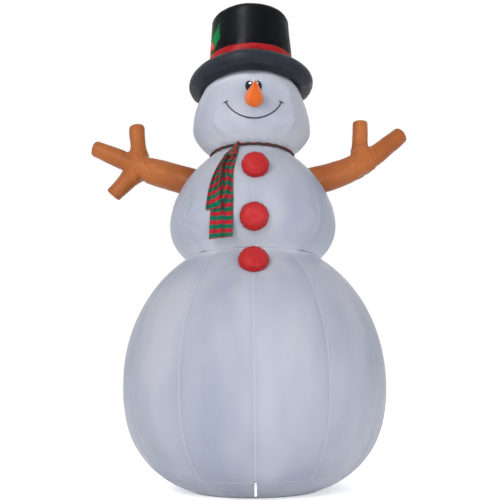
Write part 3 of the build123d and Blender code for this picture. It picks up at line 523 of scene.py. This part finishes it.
def make_crown(black):
    """The crown's side and its domed lid, as one skin with three upright seams and one round the lid."""
    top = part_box("hat_top")[1][2] + 0.018
    shoulder = 0.095
    z_turn = top - shoulder - 0.008
    side = [(float(crown_radius(z)), z) for z in np.linspace(CROWN_HEIGHTS[0], z_turn, 60)]
    bend = [(crown_radius(z_turn) - shoulder * (1 - math.cos(a)), z_turn + shoulder * math.sin(a))
            for a in np.linspace(0.05, math.pi / 2 - 0.04, 24)]
    edge, edge_z = bend[-1]
    lid = [(edge * (1 - t), edge_z + (top - edge_z) * (1 - (1 - t) ** 2))
           for t in np.linspace(0.03, 0.995, 50)]
    radius, height, normal, at = outline_steps(side + bend + lid, 0.009)
    azimuth, panel, place = panel_columns([20.0, 140.0, 260.0], 96)
    near = np.minimum(place[0], place[1])[None, :] * radius[:, None]
    rim = np.abs(at - (at[-1] - edge - 0.02))[:, None]
    band = np.abs(height[:, None] - BAND_TOP)
    knots = 48
    knot = in_knots(azimuth[None, :], knots)
    lift = -0.006 * np.exp(-near / 0.02) * (height[:, None] < z_turn) - 0.005 * np.exp(-rim / 0.015)
    lift = lift + 0.003 * ridges(knot, at[:, None] / 0.5, 8, knots) * np.exp(-rim / 0.06)
    lift = lift + 0.003 * ridges(knot, at[:, None] / 0.5, 9, knots) * np.exp(-band / 0.05)
    lift = lift + 0.006 * field(in_knots(azimuth[None, :], 9), at[:, None] / 0.35, 7, 9)
    lift = lift * np.clip(radius[:, None] / 0.1, 0, 1)
    points = place_rows(radius, height, azimuth, lift, normal)
    mesh = grid_mesh("hat_crown_skin", points, cap_end=True,
                     attributes={"seam": np.minimum(np.where(height[:, None] < z_turn, near, 1.0), rim)})
    finish_piece(mesh, "hat_crown_skin", ["hat_crown", "hat_top"], black)


def make_band(red):
    """The band: a creased strip of cloth round the foot of the crown."""
    low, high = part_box("hat_band")[0][2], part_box("hat_band")[1][2]
    z = np.linspace(low, high, 26)
    round_crown = np.linspace(0, 2 * np.pi, 300, endpoint=False)
    knots = 40
    knot = in_knots(round_crown[None, :], knots)
    edge_gap = np.minimum(z - low, high - z)[:, None]
    lift = 0.0085 + 0.004 * np.clip(edge_gap / 0.03, 0, 1)
    wander = knot + 0.6 * field(knot, z[:, None] / 0.1, 12, knots)
    lift = lift + 0.0022 * ridges(wander, z[:, None] / 0.25, 11, knots)
    above_foot = z[:, None] - CROWN_HEIGHTS[0]
    lift = lift + 0.006 * field(in_knots(round_crown[None, :], 9), above_foot / 0.35, 7, 9)
    flat = np.stack([np.ones(26), np.zeros(26)], axis=1)
    outer = place_rows(crown_radius(z), z, round_crown, lift, flat)
    ends = z[[-1, 0]]
    inner = place_rows(crown_radius(ends), ends, round_crown, np.full((2, 300), -0.004), flat[:2])
    points = np.concatenate([outer, inner, outer[:1]], axis=0)
    mesh = grid_mesh("hat_band_cloth", points)
    weld(mesh)
    finish_piece(mesh, "hat_band_cloth", ["hat_band"], red)


# ---- nose
def make_nose(orange):
    """A carrot of six panels, widest near its root, which is gathered onto the face."""
    lowest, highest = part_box("nose")
    root, tip = -0.70, lowest[1]
    level, thick = (lowest[2] + highest[2]) / 2, (highest[2] - lowest[2]) / 2
    share = np.linspace(0, 1, 90)
    body = thick * np.interp(share, [0, 0.12, 0.3, 0.5, 0.7, 0.86, 0.95, 0.985, 1.0],
                             [0.97, 1.0, 0.88, 0.66, 0.42, 0.235, 0.13, 0.075, 0.004])
    body = np.convolve(np.pad(body, 3, mode="edge"), np.ones(7) / 7, "valid")
    panels = 6
    azimuth, panel, place = panel_columns([360 / panels * i + 8 for i in range(panels)], 20)
    near = np.minimum(place[0], place[1])[None, :] * body[:, None]
    run = (share * (root - tip))[:, None]
    lift = -0.0035 * np.exp(-near / 0.025) * np.clip(body[:, None] / 0.08, 0, 1)
    lift = lift + 0.0016 * ridges(panel[None, :] * 4.0, run / 0.028, 14) * np.exp(-near / 0.02)
    knots = 26
    knot = in_knots(azimuth[None, :], knots)
    lift = lift + 0.0035 * ridges(knot, run / 0.2, 15, knots) * np.exp(-np.abs(run - 0.075) / 0.05)
    slack = field(in_knots(azimuth[None, :], 5), run / 0.16, 16, 5)
    lift = lift + 0.004 * slack * (body[:, None] / thick)
    around = body[:, None] + lift
    side, back = around * np.cos(azimuth), (root - run) + 0 * around
    turn = math.radians(HEAD_TURN)
    x = side * math.cos(turn) - back * math.sin(turn)
    y = back * math.cos(turn) + side * math.sin(turn)
    points = np.stack([x, y, level + around * np.sin(azimuth)], axis=-1)
    mesh = grid_mesh("nose_skin", points, cap_start=True, cap_end=True, attributes={"seam": near})
    finish_piece(mesh, "nose_skin", ["nose"], orange)


# ---- buttons
BUTTON_PLACES = {  # the ball each is on, its height, azimuth, share of the skin's tilt, and size
    "button_top": (TORSO, 3.715, 2.4, 0.32, 0.165), "button_middle": (TORSO, 3.088, 1.0, 1.0, 0.168),
    "button_bottom": (BASE, 2.553, 0.3, 0.72, 0.176)}


def make_button(name, ball, z, azimuth, tilt_share, full, red, seed):
    """A gathered cushion: a crowned front drawn in round its rim, and a back that meets the skin."""
    slope = float(ball.radius_at(z - 0.001) - ball.radius_at(z + 0.001)) / 0.002
    tilt = math.atan(slope)
    x, y = towards(math.radians(azimuth))
    lying = Vector((x * math.cos(tilt), y * math.cos(tilt), math.sin(tilt)))
    tilt = tilt * tilt_share
    outward = Vector((x * math.cos(tilt), y * math.cos(tilt), math.sin(tilt)))
    side = Vector((-y, x, 0))
    up = outward.cross(side).normalized()
    lean = 1 - tilt_share
    radius = float(ball.radius_at(z))
    centre = Vector((radius * x, radius * y, z)) + lying * (0.020 + 0.035 * lean)
    dome, back = 0.104, 0.022 + 0.075 * lean
    share = np.concatenate([np.linspace(0.02, 0.86, 30), np.linspace(0.88, 1.0, 12)])
    turns = np.linspace(0, 2 * np.pi, 200, endpoint=False)[None, :]
    knots = 32
    knot = in_knots(turns, knots)
    scallop = 0.014 * field(knot, 0.3, seed, knots) + 0.014 * ridges(knot, 2.2, seed + 1, knots)
    hang = 1 - 0.5 * np.sin(turns)
    rows = []
    for side_sign, tall in ((1, dome), (-1, back)):
        rho = share[:, None] if side_sign > 0 else share[::-1][1:, None]
        plump = (1 - rho**3.0) ** 0.55
        fold = ridges(knot + 0.25 * field(knot, rho * 5, seed + 2, knots), rho * 1.4, seed + 3, knots)
        deep = 0.0100 * hang * fold * np.clip((rho - 0.45) / 0.5, 0, 1) ** 1.5 * (1 - rho**10)
        deep = deep + 0.004 * field(knot / 4, rho * 3, seed + 4, 8)
        height = side_sign * tall * plump + (deep if side_sign > 0 else 0)
        reach = full * rho * (1 + scallop * rho**3)
        rows.append(np.stack([reach * np.cos(turns), reach * np.sin(turns), height + 0 * turns], axis=-1))
    flat = np.concatenate(rows, axis=0)
    points = flat @ np.array([side, up, outward]) + np.array(centre)
    rim = np.abs(np.concatenate([share, share[::-1][1:]]) - 0.93)[:, None] * full
    rim[len(share):] = 1.0
    mesh = grid_mesh(name + "_cushion", points, cap_start=True, cap_end=True, attributes={"seam": rim})
    weld(mesh)
    piece = finish_piece(mesh, name + "_cushion", [name], red)


# ---- scarf
STRIPE = 0.051  # the width of one stripe
HEM = 0.011  # how far the lowest stripe's edge lies from a tail's end
# left and right are the azimuths of a tail's edges by height; folds is how many there are across it,
# lift how far it stands off the skin, curl how far its right edge does, slant how much the stripes lean
# across it, and width the cloth's before it is gathered
TAILS = {
    "scarf_tail_long": dict(
        left=((2.85, 3.20, 3.36, 3.80, 4.0), (-28.0, -26.8, -22.0, -24.0, -24.5)),
        right=((2.85, 3.31, 3.70, 4.0), (-12.2, -11.8, -13.6, -13.6)),
        folds=2.4, lift=0.010, curl=0.0, slant=0.02, width=0.24, body="long_tail", seed=31),
    "scarf_tail_short": dict(
        left=((3.20, 3.49, 3.73, 4.0), (-29.9, -29.0, -27.9, -27.2)),
        right=((3.20, 3.49, 3.87, 4.0), (-18.9, -20.8, -23.4, -21.0)),
        folds=2.1, lift=0.021, curl=0.012, slant=-0.075, width=0.19, body="short_tail", seed=37)}


def make_wrap(cloth):
    """The scarf round the neck: a thin twisted roll."""
    lowest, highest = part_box("scarf_wrap")
    middle, thick = (lowest[2] + highest[2]) / 2, (highest[2] - lowest[2]) / 2
    ring = highest[0] - 0.032
    turns = np.linspace(0, 2 * np.pi, 420, endpoint=False)[None, :]
    section = np.linspace(0, 2 * np.pi, 40, endpoint=False)[:, None]
    knots = 64
    knot = in_knots(turns, knots)
    lumps = field(knot, 1.5 * np.cos(section) + np.sin(section), 21, knots)
    swell = 0.85 + 0.10 * np.sin(3 * (section + turns * 9)) + 0.06 * lumps
    swell = swell + 0.05 * ridges(knot, 0.5, 22, knots)
    out = ring + 0.018 * swell * np.cos(section)
    x, y = towards(turns)
    points = closed(np.stack([out * x, out * y, middle + thick * 0.9 * swell * np.sin(section)], axis=-1))
    # fold sets painted shade in the roll's twists
    fold = closed(swell) * 9 - 8.6
    mesh = grid_mesh("scarf_wrap_cloth", points,
                     attributes={"along": turns * ring + 0.1 * points[..., 2], "fold": fold})
    weld(mesh)
    wrap = finish_piece(mesh, "scarf_wrap_cloth", ["scarf_wrap"], cloth)


def make_tail(name, tail, cloth):
    """A scarf end: bunched at the knot, lying down the shoulder, then hanging plumb from the bulge.
    The long one has painted shade beside the short one, which lies just over its edge."""
    low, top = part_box(name)[0][2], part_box(name)[1][2]
    seed, equator = tail["seed"], TORSO.equator
    heights = np.concatenate([np.linspace(top, equator, 400), np.linspace(equator - 0.002, low, 200)])
    reach = np.where(heights > equator, TORSO.radius_at(np.maximum(heights, equator)), TORSO.radius)
    run = np.concatenate([[0], np.cumsum(np.hypot(np.diff(reach), np.diff(heights)))])
    at = np.linspace(0, run[-1], int(run[-1] / 0.010))
    z, r = np.interp(at, run, heights), np.interp(at, run, reach)
    left, right = np.interp(z, *tail["left"]), np.interp(z, *tail["right"])
    across = np.linspace(0, 1, 72)[None, :]
    azimuth = np.radians(left[:, None] + (right - left)[:, None] * across)
    down = (at / at[-1])[:, None]
    gathered = np.clip(1.5 - 1.3 * down, 0.2, 1)
    drift = 0.6 * field(across * 1.5, down * 5, seed)
    wave = 0.6 * np.sin(2 * np.pi * (tail["folds"] * across + drift) + seed)
    wave = wave + 0.4 * ridges(tail["folds"] * across * 1.3 + drift, down * 1.5, seed + 3)
    small = field(across * 7, down * 12, seed + 1)
    lift = tail["lift"] + 0.014 * gathered * wave + 0.003 * small
    lift = np.clip(lift, 0.0015, tail["lift"] + 0.013) + tail["curl"] * np.exp(-(1 - across) / 0.05)
    hem = (0.006 * field(across * 5, 0.4, seed + 2) + 0.006 * (across - 0.3)) * np.clip(down * 12 - 11, 0, 1)
    layers = []
    for extra in (0.0016, 0.0):
        out = r[:, None] + lift + extra
        x, y = towards(azimuth)
        layers.append(np.stack([out * x, out * y, z[:, None] + hem], axis=-1))
    ripple = np.sin(2 * np.pi * (tail["folds"] * across + drift) + seed + 1.0)
    slant = tail["slant"] * across**2 * (1 - 0.6 * down**6) + 0.018 * (gathered - 0.1) * ripple
    from_end = (at[-1] - at)[:, None]
    stretched = from_end - 0.20 * np.clip(from_end - 0.55, 0, None)
    along = stretched - HEM - 0.5 * STRIPE + slant * np.clip(from_end / 0.05, 0, 1)
    # painted shadow of the short tail's edge across the long tail
    beside = np.degrees(azimuth) - np.interp(z, *TAILS["scarf_tail_short"]["right"])[:, None]
    under = np.exp(-((beside - 0.4) / 0.8) ** 2) * (z > 3.19)[:, None] * (tail["curl"] == 0)
    # painted shade by the stored fold: deep where the cloth folds in, and under the short tail's edge
    fold = 0.3 + np.maximum(gathered, 0.45) * (wave - 0.3) - 0.2 * np.abs(small) - 0.9 * under
    mesh = sheet_mesh(name + "_cloth", *layers, {"along": along, "fold": fold})
    piece = finish_piece(mesh, name + "_cloth", [name], cloth, body=tail["body"])


def sheet_mesh(name, outer, inner, attributes):
    """Two layers of points joined along all four edges."""
    rows, cols = outer.shape[:2]
    count = rows * cols
    index = np.arange(count).reshape(rows, cols)
    quads = np.stack([index[:-1, :-1], index[:-1, 1:], index[1:, 1:], index[1:, :-1]], axis=-1).reshape(-1, 4)
    faces = quads.tolist() + (quads[:, ::-1] + count).tolist()
    loop = np.concatenate([index[0, :-1], index[:-1, -1], index[-1, :0:-1], index[:0:-1, 0]])
    for a, b in zip(loop, np.roll(loop, -1)):
        faces.append([int(b), int(a), int(a) + count, int(b) + count])
    mesh = bpy.data.meshes.new(name)
    mesh.from_pydata(np.concatenate([outer.reshape(-1, 3), inner.reshape(-1, 3)]).tolist(), [], faces)
    for key, values in attributes.items():
        flat = np.broadcast_to(values, (rows, cols)).ravel()
        store(mesh, key, np.concatenate([flat, flat]))
    weld(mesh, 1e-7)
    return mesh


def make_knot(cloth):
    """The knot: both ends drawn together under the wrap, fanning out down the shoulder in folds."""
    down = np.linspace(0, 1, 46)[:, None]
    section = np.linspace(0, 2 * np.pi, 150, endpoint=False)[None, :]
    top, tall = 4.168, 0.235
    z = top - tall * down
    r = np.interp(z, (3.93, 4.02, 4.10, top), (0.750, 0.672, 0.603, 0.548)) + 0.012
    middle = np.radians(np.interp(down, (0, 0.35, 1), (-17.3, -18.6, -20.6)))
    half = np.interp(down, (0, 0.15, 0.5, 0.9, 1), (0.014, 0.024, 0.050, 0.086, 0.090))
    thick = np.interp(down, (0, 0.12, 0.5, 0.8, 1), (0.012, 0.026, 0.026, 0.020, 0.012))
    across = np.cos(section)
    fold = ridges(across * 3.4 + 0.4 * field(across * 2, down * 3, 43), down * 0.9, 41)
    bulge = np.sin(section) * thick * np.sqrt(np.clip(1 - 0.35 * across**2, 0, 1))
    out = r + bulge + np.where(np.sin(section) > 0, 0.0095 * fold * np.sin(section), 0)
    azimuth = middle + half * across / r
    x, y = towards(azimuth)
    points = np.stack([out * x, out * y, z + 0.010 * np.sin(section) + 0 * out], axis=-1)
    along = -0.170 * across * (1.3 - 0.8 * down) - 0.22 * down + 0.030 * fold
    # the stored fold sets painted shade in the knot's folds
    mesh = grid_mesh("scarf_knot_cloth", points, cap_start=True, cap_end=True,
                     attributes={"along": along, "fold": 1.5 * fold - 0.25})
    weld(mesh)
    piece = finish_piece(mesh, "scarf_knot_cloth", ["scarf_knot"], cloth)


def striped(name):
    """Red and green stripes counted by the stored along, with painted shade where the stored fold is deep."""
    n = Nodes(name)
    stripe = n.math("FLOORED_MODULO", n.math("DIVIDE", n.attribute("along"), STRIPE), 2.0)
    share = n.ramp(n.math("ABSOLUTE", n.math("SUBTRACT", stripe, 1.0)), 0.49, 0.51)
    patch = n.noise(18.0, 2.0)
    red = n.mix(n.ramp(patch, 0.3, 0.7), (0.21, 0.005, 0.011), (0.31, 0.010, 0.020))
    green = n.mix(n.ramp(patch, 0.3, 0.7), (0.0, 0.056, 0.030), (0.0, 0.104, 0.060))
    colour = n.mix(share, red, green)
    # painted shade in the folds
    colour = n.mix(n.ramp(n.attribute("fold"), -0.9, 0.3, 0.75, 0.0), colour, (0.012, 0.010, 0.012))
    normal = n.bump(n.noise(30.0, 3.0), 0.15, 0.004)
    normal = n.bump(n.weave(350.0), 0.12, 0.0008, normal)
    return n.surface(colour, 0.62, normal, Specular_IOR_Level=0.06)


# ---- arms
# limbs are stations of (x, z, radius); cuffs are where a limb is sewn on, as (limb, distance along it)
ARMS = {
    "left": dict(
        limbs=[[(-0.690, 3.780, 0.190), (-1.100, 3.912, 0.180), (-1.440, 4.026, 0.166),
                (-1.640, 4.112, 0.132), (-1.850, 4.203, 0.113), (-2.080, 4.302, 0.105)],
               [(-1.470, 4.030, 0.160), (-1.487, 4.200, 0.128), (-1.505, 4.380, 0.104),
                (-1.526, 4.605, 0.101)],
               [(-1.470, 4.030, 0.160), (-1.590, 3.900, 0.128), (-1.700, 3.778, 0.108),
                (-1.815, 3.652, 0.103)]],
        cuffs=[(0, 1.055)]),
    "right": dict(
        limbs=[[(0.700, 3.783, 0.190), (1.080, 3.892, 0.176), (1.380, 4.015, 0.160),
                (1.600, 4.150, 0.136), (1.800, 4.305, 0.120), (1.985, 4.450, 0.108)],
               [(1.410, 4.060, 0.150), (1.420, 4.240, 0.118), (1.430, 4.430, 0.103),
                (1.437, 4.625, 0.101)]],
        cuffs=[(1, 0.225)])}
END_ROUND = 0.022  # the radius of the edge of a limb's flat end


def limb_path(stations, count=80):
    """A smooth centre line through the stations: points, and the radius and the distance at each."""
    stations = np.array(stations)
    knots = np.concatenate([[0], np.cumsum(np.linalg.norm(np.diff(stations[:, :2], axis=0), axis=1))])
    at = np.linspace(0, knots[-1], count)
    ends = np.vstack([2 * stations[0] - stations[1], stations, 2 * stations[-1] - stations[-2]])
    slopes = (ends[2:] - ends[:-2]) / np.maximum(np.gradient(knots)[:, None] * 2, 1e-6)
    i = np.clip(np.searchsorted(knots, at, "right") - 1, 0, len(knots) - 2)
    gap = (knots[i + 1] - knots[i])[:, None]
    t = (at - knots[i])[:, None] / gap
    a, b, m, n = stations[i], stations[i + 1], slopes[i] * gap, slopes[i + 1] * gap
    path = ((2 * t**3 - 3 * t**2 + 1) * a + (t**3 - 2 * t**2 + t) * m
            + (3 * t**2 - 2 * t**3) * b + (t**3 - t**2) * n)
    return path[:, :2], path[:, 2], at


def limb_mesh(stations):
    """A closed tapered tube along a limb, with a flat end whose edge is rounded."""
    path, radius, at = limb_path(stations)
    along = np.gradient(path, at, axis=0)
    along /= np.linalg.norm(along, axis=1, keepdims=True)
    round_end = np.linspace(0, math.pi / 2, 7)[1:]
    centre = np.vstack([path, path[-1] + along[-1] * END_ROUND * np.sin(round_end)[:, None]])
    centre -= along[-1] * END_ROUND * (np.arange(len(centre)) >= len(path) - 1)[:, None]
    size = np.concatenate([radius, radius[-1] - END_ROUND * (1 - np.cos(round_end))])
    along = np.vstack([along, np.repeat(along[-1:], len(round_end), axis=0)])
    turns = np.linspace(0, 2 * np.pi, 64, endpoint=False)
    out = size[:, None] * np.cos(turns)
    up = size[:, None] * np.sin(turns)
    points = np.stack([centre[:, :1] - along[:, 1:] * up, out, centre[:, 1:] + along[:, :1] * up], axis=-1)
    return grid_mesh("limb", points, cap_start=True, cap_end=True)


def make_arm(side, arm, brown):
    """Tubes of nylon run into one another, smoothed at the forks, and then creased and seamed."""
    points, faces = [], []
    for stations in arm["limbs"]:
        mesh = limb_mesh(stations)
        offset = len(points)
        points += [tuple(v.co) for v in mesh.vertices]
        faces += [[offset + i for i in p.vertices] for p in mesh.polygons]
        bpy.data.meshes.remove(mesh)
    mesh = bpy.data.meshes.new("arm_" + side + "_skin")
    mesh.from_pydata(points, [], faces)
    weld(mesh)
    piece = finish_piece(mesh, "arm_" + side + "_skin", ["arm_" + side, "arm_" + side + "_twigs"], brown)
    apply_modifiers(piece, ("REMESH", dict(mode="VOXEL", voxel_size=0.010, use_smooth_shade=True)),
                    ("SMOOTH", dict(factor=0.5, iterations=6)))
    where = read_points(piece.data)
    fork = np.array(arm["limbs"][1][0][:2])
    reach = np.hypot(where[:, 0] - fork[0], where[:, 2] - fork[1])
    group = piece.vertex_groups.new(name="fork")
    for index in np.nonzero(reach < 0.36)[0]:
        group.add([int(index)], float(np.clip((0.36 - reach[index]) / 0.10, 0, 1)), "REPLACE")
    apply_modifiers(piece, ("SMOOTH", dict(factor=0.5, iterations=40, vertex_group="fork")))
    shape_arm(piece, arm, fork)


def apply_modifiers(piece, *stack):
    """Runs (kind, settings) modifiers on a piece and keeps their result as its mesh."""
    for kind, settings in stack:
        modifier = piece.modifiers.new(kind.lower(), kind)
        for key, value in settings.items():
            setattr(modifier, key, value)
    graph = bpy.context.evaluated_depsgraph_get()
    mesh = bpy.data.meshes.new_from_object(piece.evaluated_get(graph))
    piece.modifiers.clear()
    old = piece.data
    piece.data = mesh
    bpy.data.meshes.remove(old)
    mesh.name = piece.name


def read_points(mesh, what="co"):
    values = np.empty(len(mesh.vertices) * 3)
    mesh.vertices.foreach_get(what, values)
    return values.reshape(-1, 3)


def shape_arm(piece, arm, fork):
    """Adds seam valleys, puckers along them and folds at the fork, and stores the seam distance."""
    mesh = piece.data
    where, facing = read_points(mesh), read_points(mesh, "normal")
    flat = where[:, [0, 2]]
    seam = np.full(len(where), 1.0)
    closest = np.full(len(where), 9.0)
    for number, stations in enumerate(arm["limbs"]):
        path, radius, at = limb_path(stations, 240)
        gaps = np.linalg.norm(flat[:, None, :] - path[None, :, :], axis=2)
        nearest = gaps.argmin(axis=1)
        share = gaps[np.arange(len(where)), nearest] / radius[nearest]
        run = at[nearest]
        mine = share < closest
        closest = np.where(mine, share, closest)
        edge = np.where(share > 0.80, np.abs(where[:, 1]), 1.0)
        seam = np.where(mine, np.minimum(edge, np.abs(at[-1] - 0.012 - run)), seam)
        for limb, place in arm["cuffs"]:
            if limb == number:
                seam = np.where(mine, np.minimum(seam, np.abs(run - place)), seam)
    away = np.linalg.norm(flat - fork, axis=1)
    lift = -0.005 * np.exp(-seam / 0.010)
    puckers = ridges(where[:, 0] / 0.035 + where[:, 2] / 0.06, where[:, 2] / 0.035, 51)
    lift += 0.0020 * puckers * np.exp(-seam / 0.03)
    crumple = np.exp(-((away - 0.17) / 0.07) ** 2)
    lift += 0.0085 * ridges(where[:, 0] / 0.075, where[:, 1] / 0.11 + where[:, 2] / 0.09, 52) * crumple
    lift += 0.007 * field(where[:, 0] / 0.16, where[:, 2] / 0.16 + where[:, 1] / 0.3, 53)
    mesh.vertices.foreach_set("co", (where + facing * lift[:, None]).ravel())
    store(mesh, "seam", seam)
    mesh.update()


# ---- plain materials for CAD nodes
def moulded(name, colour, rough=0.5, grain=400.0, depth=0.15):
    """Moulded plastic, rubber or paint with a fine grain."""
    n = Nodes(name)
    shade = n.ramp(n.noise(30.0, 3.0), 0.3, 0.7)
    tint = n.mix(shade, tuple(0.82 * c for c in colour), tuple(min(1, 1.12 * c) for c in colour))
    normal = n.bump(n.noise(grain, 2.0), depth, 0.0008)
    return n.surface(tint, n.ramp(n.noise(70.0), 0.3, 0.7, rough - 0.06, rough + 0.08), normal)


def metal(name, colour, rough, stretch=(1.0, 1.0, 30.0)):
    """Drawn or turned metal with fine streaks."""
    n = Nodes(name)
    streak = n.noise(60.0, 3.0, stretch=stretch)
    tint = n.mix(n.ramp(streak, 0.3, 0.7), tuple(0.85 * c for c in colour), colour)
    normal = n.bump(streak, 0.08, 0.0004)
    return n.surface(tint, n.ramp(streak, 0.3, 0.7, rough, rough + 0.14), normal, Metallic=1.0)


def printed(name, colour):
    """Ink on nylon: the weave and the slack show through it."""
    n = Nodes(name)
    tint = n.mix(n.ramp(n.noise(40.0, 2.0), 0.3, 0.7), colour, tuple(min(1, c * 1.3 + 0.004) for c in colour))
    normal = n.bump(n.noise(6.0, 2.0), 0.2, 0.03)
    return n.surface(tint, 0.4, n.bump(n.weave(420.0), 0.06, 0.0006, normal), Specular_IOR_Level=0.1)


def webbing(name, colour):
    """Flat woven strap: a herringbone of fine ribs."""
    n = Nodes(name)
    parts = n.new("SeparateXYZ")
    n.link(n.place(), parts.inputs[0])
    ribs = n.math("SINE", n.math("MULTIPLY", parts.outputs[2], 2600.0))
    cross = n.math("SINE", n.math("MULTIPLY", n.math("ADD", parts.outputs[0], parts.outputs[1]), 3600.0))
    height = n.math("MULTIPLY", ribs, cross)
    tint = n.mix(n.ramp(n.noise(80.0), 0.3, 0.7), tuple(0.9 * c for c in colour), colour)
    return n.surface(tint, 0.75, n.bump(height, 0.35, 0.0012), Sheen_Weight=0.3)


def dress_node(material, *names):
    """Gives CAD nodes that keep their own mesh a material."""
    for name in names:
        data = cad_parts[name].data
        data.materials.clear()
        data.materials.append(material)


# ---- put it together
make_camera()
make_studio()

WHITE_DARK, WHITE_LIGHT = (0.198, 0.219, 0.275), (0.270, 0.281, 0.325)
# the white skins carry painted light in their folds
white = nylon("white_nylon", WHITE_DARK, WHITE_LIGHT, (0.29, 0.30, 0.345), sheen=0.0, gloss=0.12,
              painted_light_tint=(0.58, 0.60, 0.66))
black = nylon("black_nylon", (0.0012, 0.0013, 0.0017), (0.0030, 0.0034, 0.0046), (0.001, 0.001, 0.0015),
              rough=(0.36, 0.43), sheen=0.0, gloss=0.035)
# the hat's black cloth painted lighter for the brim, whose roll faces up into the light
black_painted_lit = nylon("black_painted_lit_nylon", (0.006, 0.0076, 0.0112), (0.0155, 0.0190, 0.026), (0.005, 0.0065, 0.009),
              rough=(0.40, 0.48), sheen=0.0, gloss=0.10)
band_red = nylon("band_red_nylon", (0.135, 0.0035, 0.0045), (0.215, 0.007, 0.008),
                 rough=(0.34, 0.44), sheen=0.0, gloss=0.05, crease=0.35)
red = nylon("red_nylon", (0.215, 0.0040, 0.0062), (0.290, 0.0125, 0.014), (0.195, 0.004, 0.006),
            rough=(0.38, 0.5), gloss=0.12, crease=0.3)
orange = nylon("orange_nylon", (0.53, 0.085, 0.005), (0.62, 0.140, 0.013), (0.50, 0.080, 0.005),
               rough=(0.36, 0.48), gloss=0.2)
brown = nylon("brown_nylon", (0.180, 0.047, 0.011), (0.280, 0.087, 0.023), (0.165, 0.045, 0.011),
              rough=(0.36, 0.48), gloss=0.12, crease=0.4)
green = nylon("green_nylon", (0.0, 0.048, 0.010), (0.0, 0.098, 0.024),
              rough=(0.4, 0.5), sheen=0.0, gloss=0.03)
berry = nylon("berry_nylon", (0.34, 0.012, 0.018), (0.42, 0.022, 0.03), rough=(0.36, 0.45), gloss=0.15)
cloth = striped("striped_cloth")

ball_skin("base_skin", BASE, 0.003, WAIST, BASE_SEAMS, 25, 0.0102, ["base_panels", "base_skirt"], 100,
          hem=0.207, port=(0.0, 0.19, 0.1535), ends=(0.001, 0.002))
TORSO_KINKS = [(side * TORSO_FRONT, 3.12, 2.2, 0.026, 0.095) for side in (-1, 1)]
TORSO_KINKS += [(azimuth, 3.54, 0.0, 0.014, 0.05) for azimuth in (-90.0, 90.0, 180.0)]
ball_skin("torso_skin", TORSO, WAIST, NECK, seams_with_front_panels(TORSO_FRONT), 38, 0.0075,
          ["torso_panels"], 200, TORSO_KINKS, ends=(0.002, 0.006), flatten=(0.2, 2.77, NECK),
          faint=0.0025, crisp=0.6)
HEAD_SEAMS = [HEAD_TURN + seam for seam in seams_with_front_panels(HEAD_FRONT)]
HEAD_KINKS = [(HEAD_SEAMS[1], 4.45, 2.0, 0.014, 0.065), (HEAD_SEAMS[-1] - 360, 4.45, 2.0, 0.014, 0.065),
              (HEAD_TURN, 5.03, 0.0, -0.012, 0.045)]
ball_skin("head_skin", HEAD, NECK, HEAD.top, HEAD_SEAMS, 34, 0.0065, ["head_panels"], 300, HEAD_KINKS,
          flatten=(0.5, NECK, UNDER_BRIM), faint=0.02, crisp=0.25)
make_brim(black_painted_lit)
make_crown(black)
make_band(band_red)
make_nose(orange)
for number, (name, place) in enumerate(BUTTON_PLACES.items()):
    make_button(name, *place, red, 60 + 10 * number)
make_wrap(cloth)
make_knot(cloth)
for name, tail in TAILS.items():
    make_tail(name, tail, cloth)
for side, arm in ARMS.items():
    make_arm(side, arm, brown)

dress_node(printed("black_print", (0.006, 0.006, 0.008)), "eyes", "mouth")
dress_node(printed("white_print", (0.85, 0.85, 0.85)), "eye_highlights")
dress_node(green, "holly_leaves")
dress_node(berry, "holly_berries")
dress_node(nylon("floor_fabric", (0.10, 0.105, 0.12), (0.14, 0.145, 0.16)), "base_floor", "ballast_bags")
dress_node(nylon("inner_nylon", WHITE_DARK, WHITE_LIGHT), "baffles", "blower_sleeve", "zipper_facing")
dress_node(black, "hat_seam_ring")
dress_node(webbing("white_webbing", (0.62, 0.62, 0.63)), "tether_tabs", "stake_anchors", "stake_loop_front",
           "stake_loop_rear_left", "stake_loop_rear_right", "zipper_tapes", "light_strap")
dress_node(metal("plated_wire", (0.72, 0.72, 0.74), 0.12), "tether_ring_left", "tether_ring_right",
           "tether_ring_rear")
dress_node(metal("zip_metal", (0.58, 0.58, 0.60), 0.25), "zipper_slider", "zipper_pull")
dress_node(metal("clamp_steel", (0.60, 0.60, 0.61), 0.25, (30.0, 1.0, 1.0)), "blower_clamp", "blower_screws")
dress_node(metal("shaft_steel", (0.62, 0.62, 0.64), 0.18, (1.0, 30.0, 1.0)), "motor_shaft")
dress_node(moulded("zip_plastic", (0.80, 0.80, 0.80), 0.4), "zipper_chain", "cable_clips")
dress_node(moulded("blower_plastic", (0.022, 0.022, 0.025), 0.5, 700.0, 0.3), "blower_housing_front",
           "blower_housing_rear", "blower_grille", "blower_stand", "cable_gland", "lamp_sockets")
dress_node(moulded("fan_plastic", (0.62, 0.63, 0.65), 0.3, 200.0, 0.05), "impeller")
dress_node(moulded("motor_paint", (0.09, 0.09, 0.095), 0.4, 500.0, 0.1), "blower_motor", "motor_spider")
dress_node(moulded("lamp_plastic", (0.88, 0.88, 0.84), 0.3, 100.0, 0.03), "lamp_globes")
dress_node(moulded("cable_rubber", (0.02, 0.02, 0.02), 0.55), "light_cable")
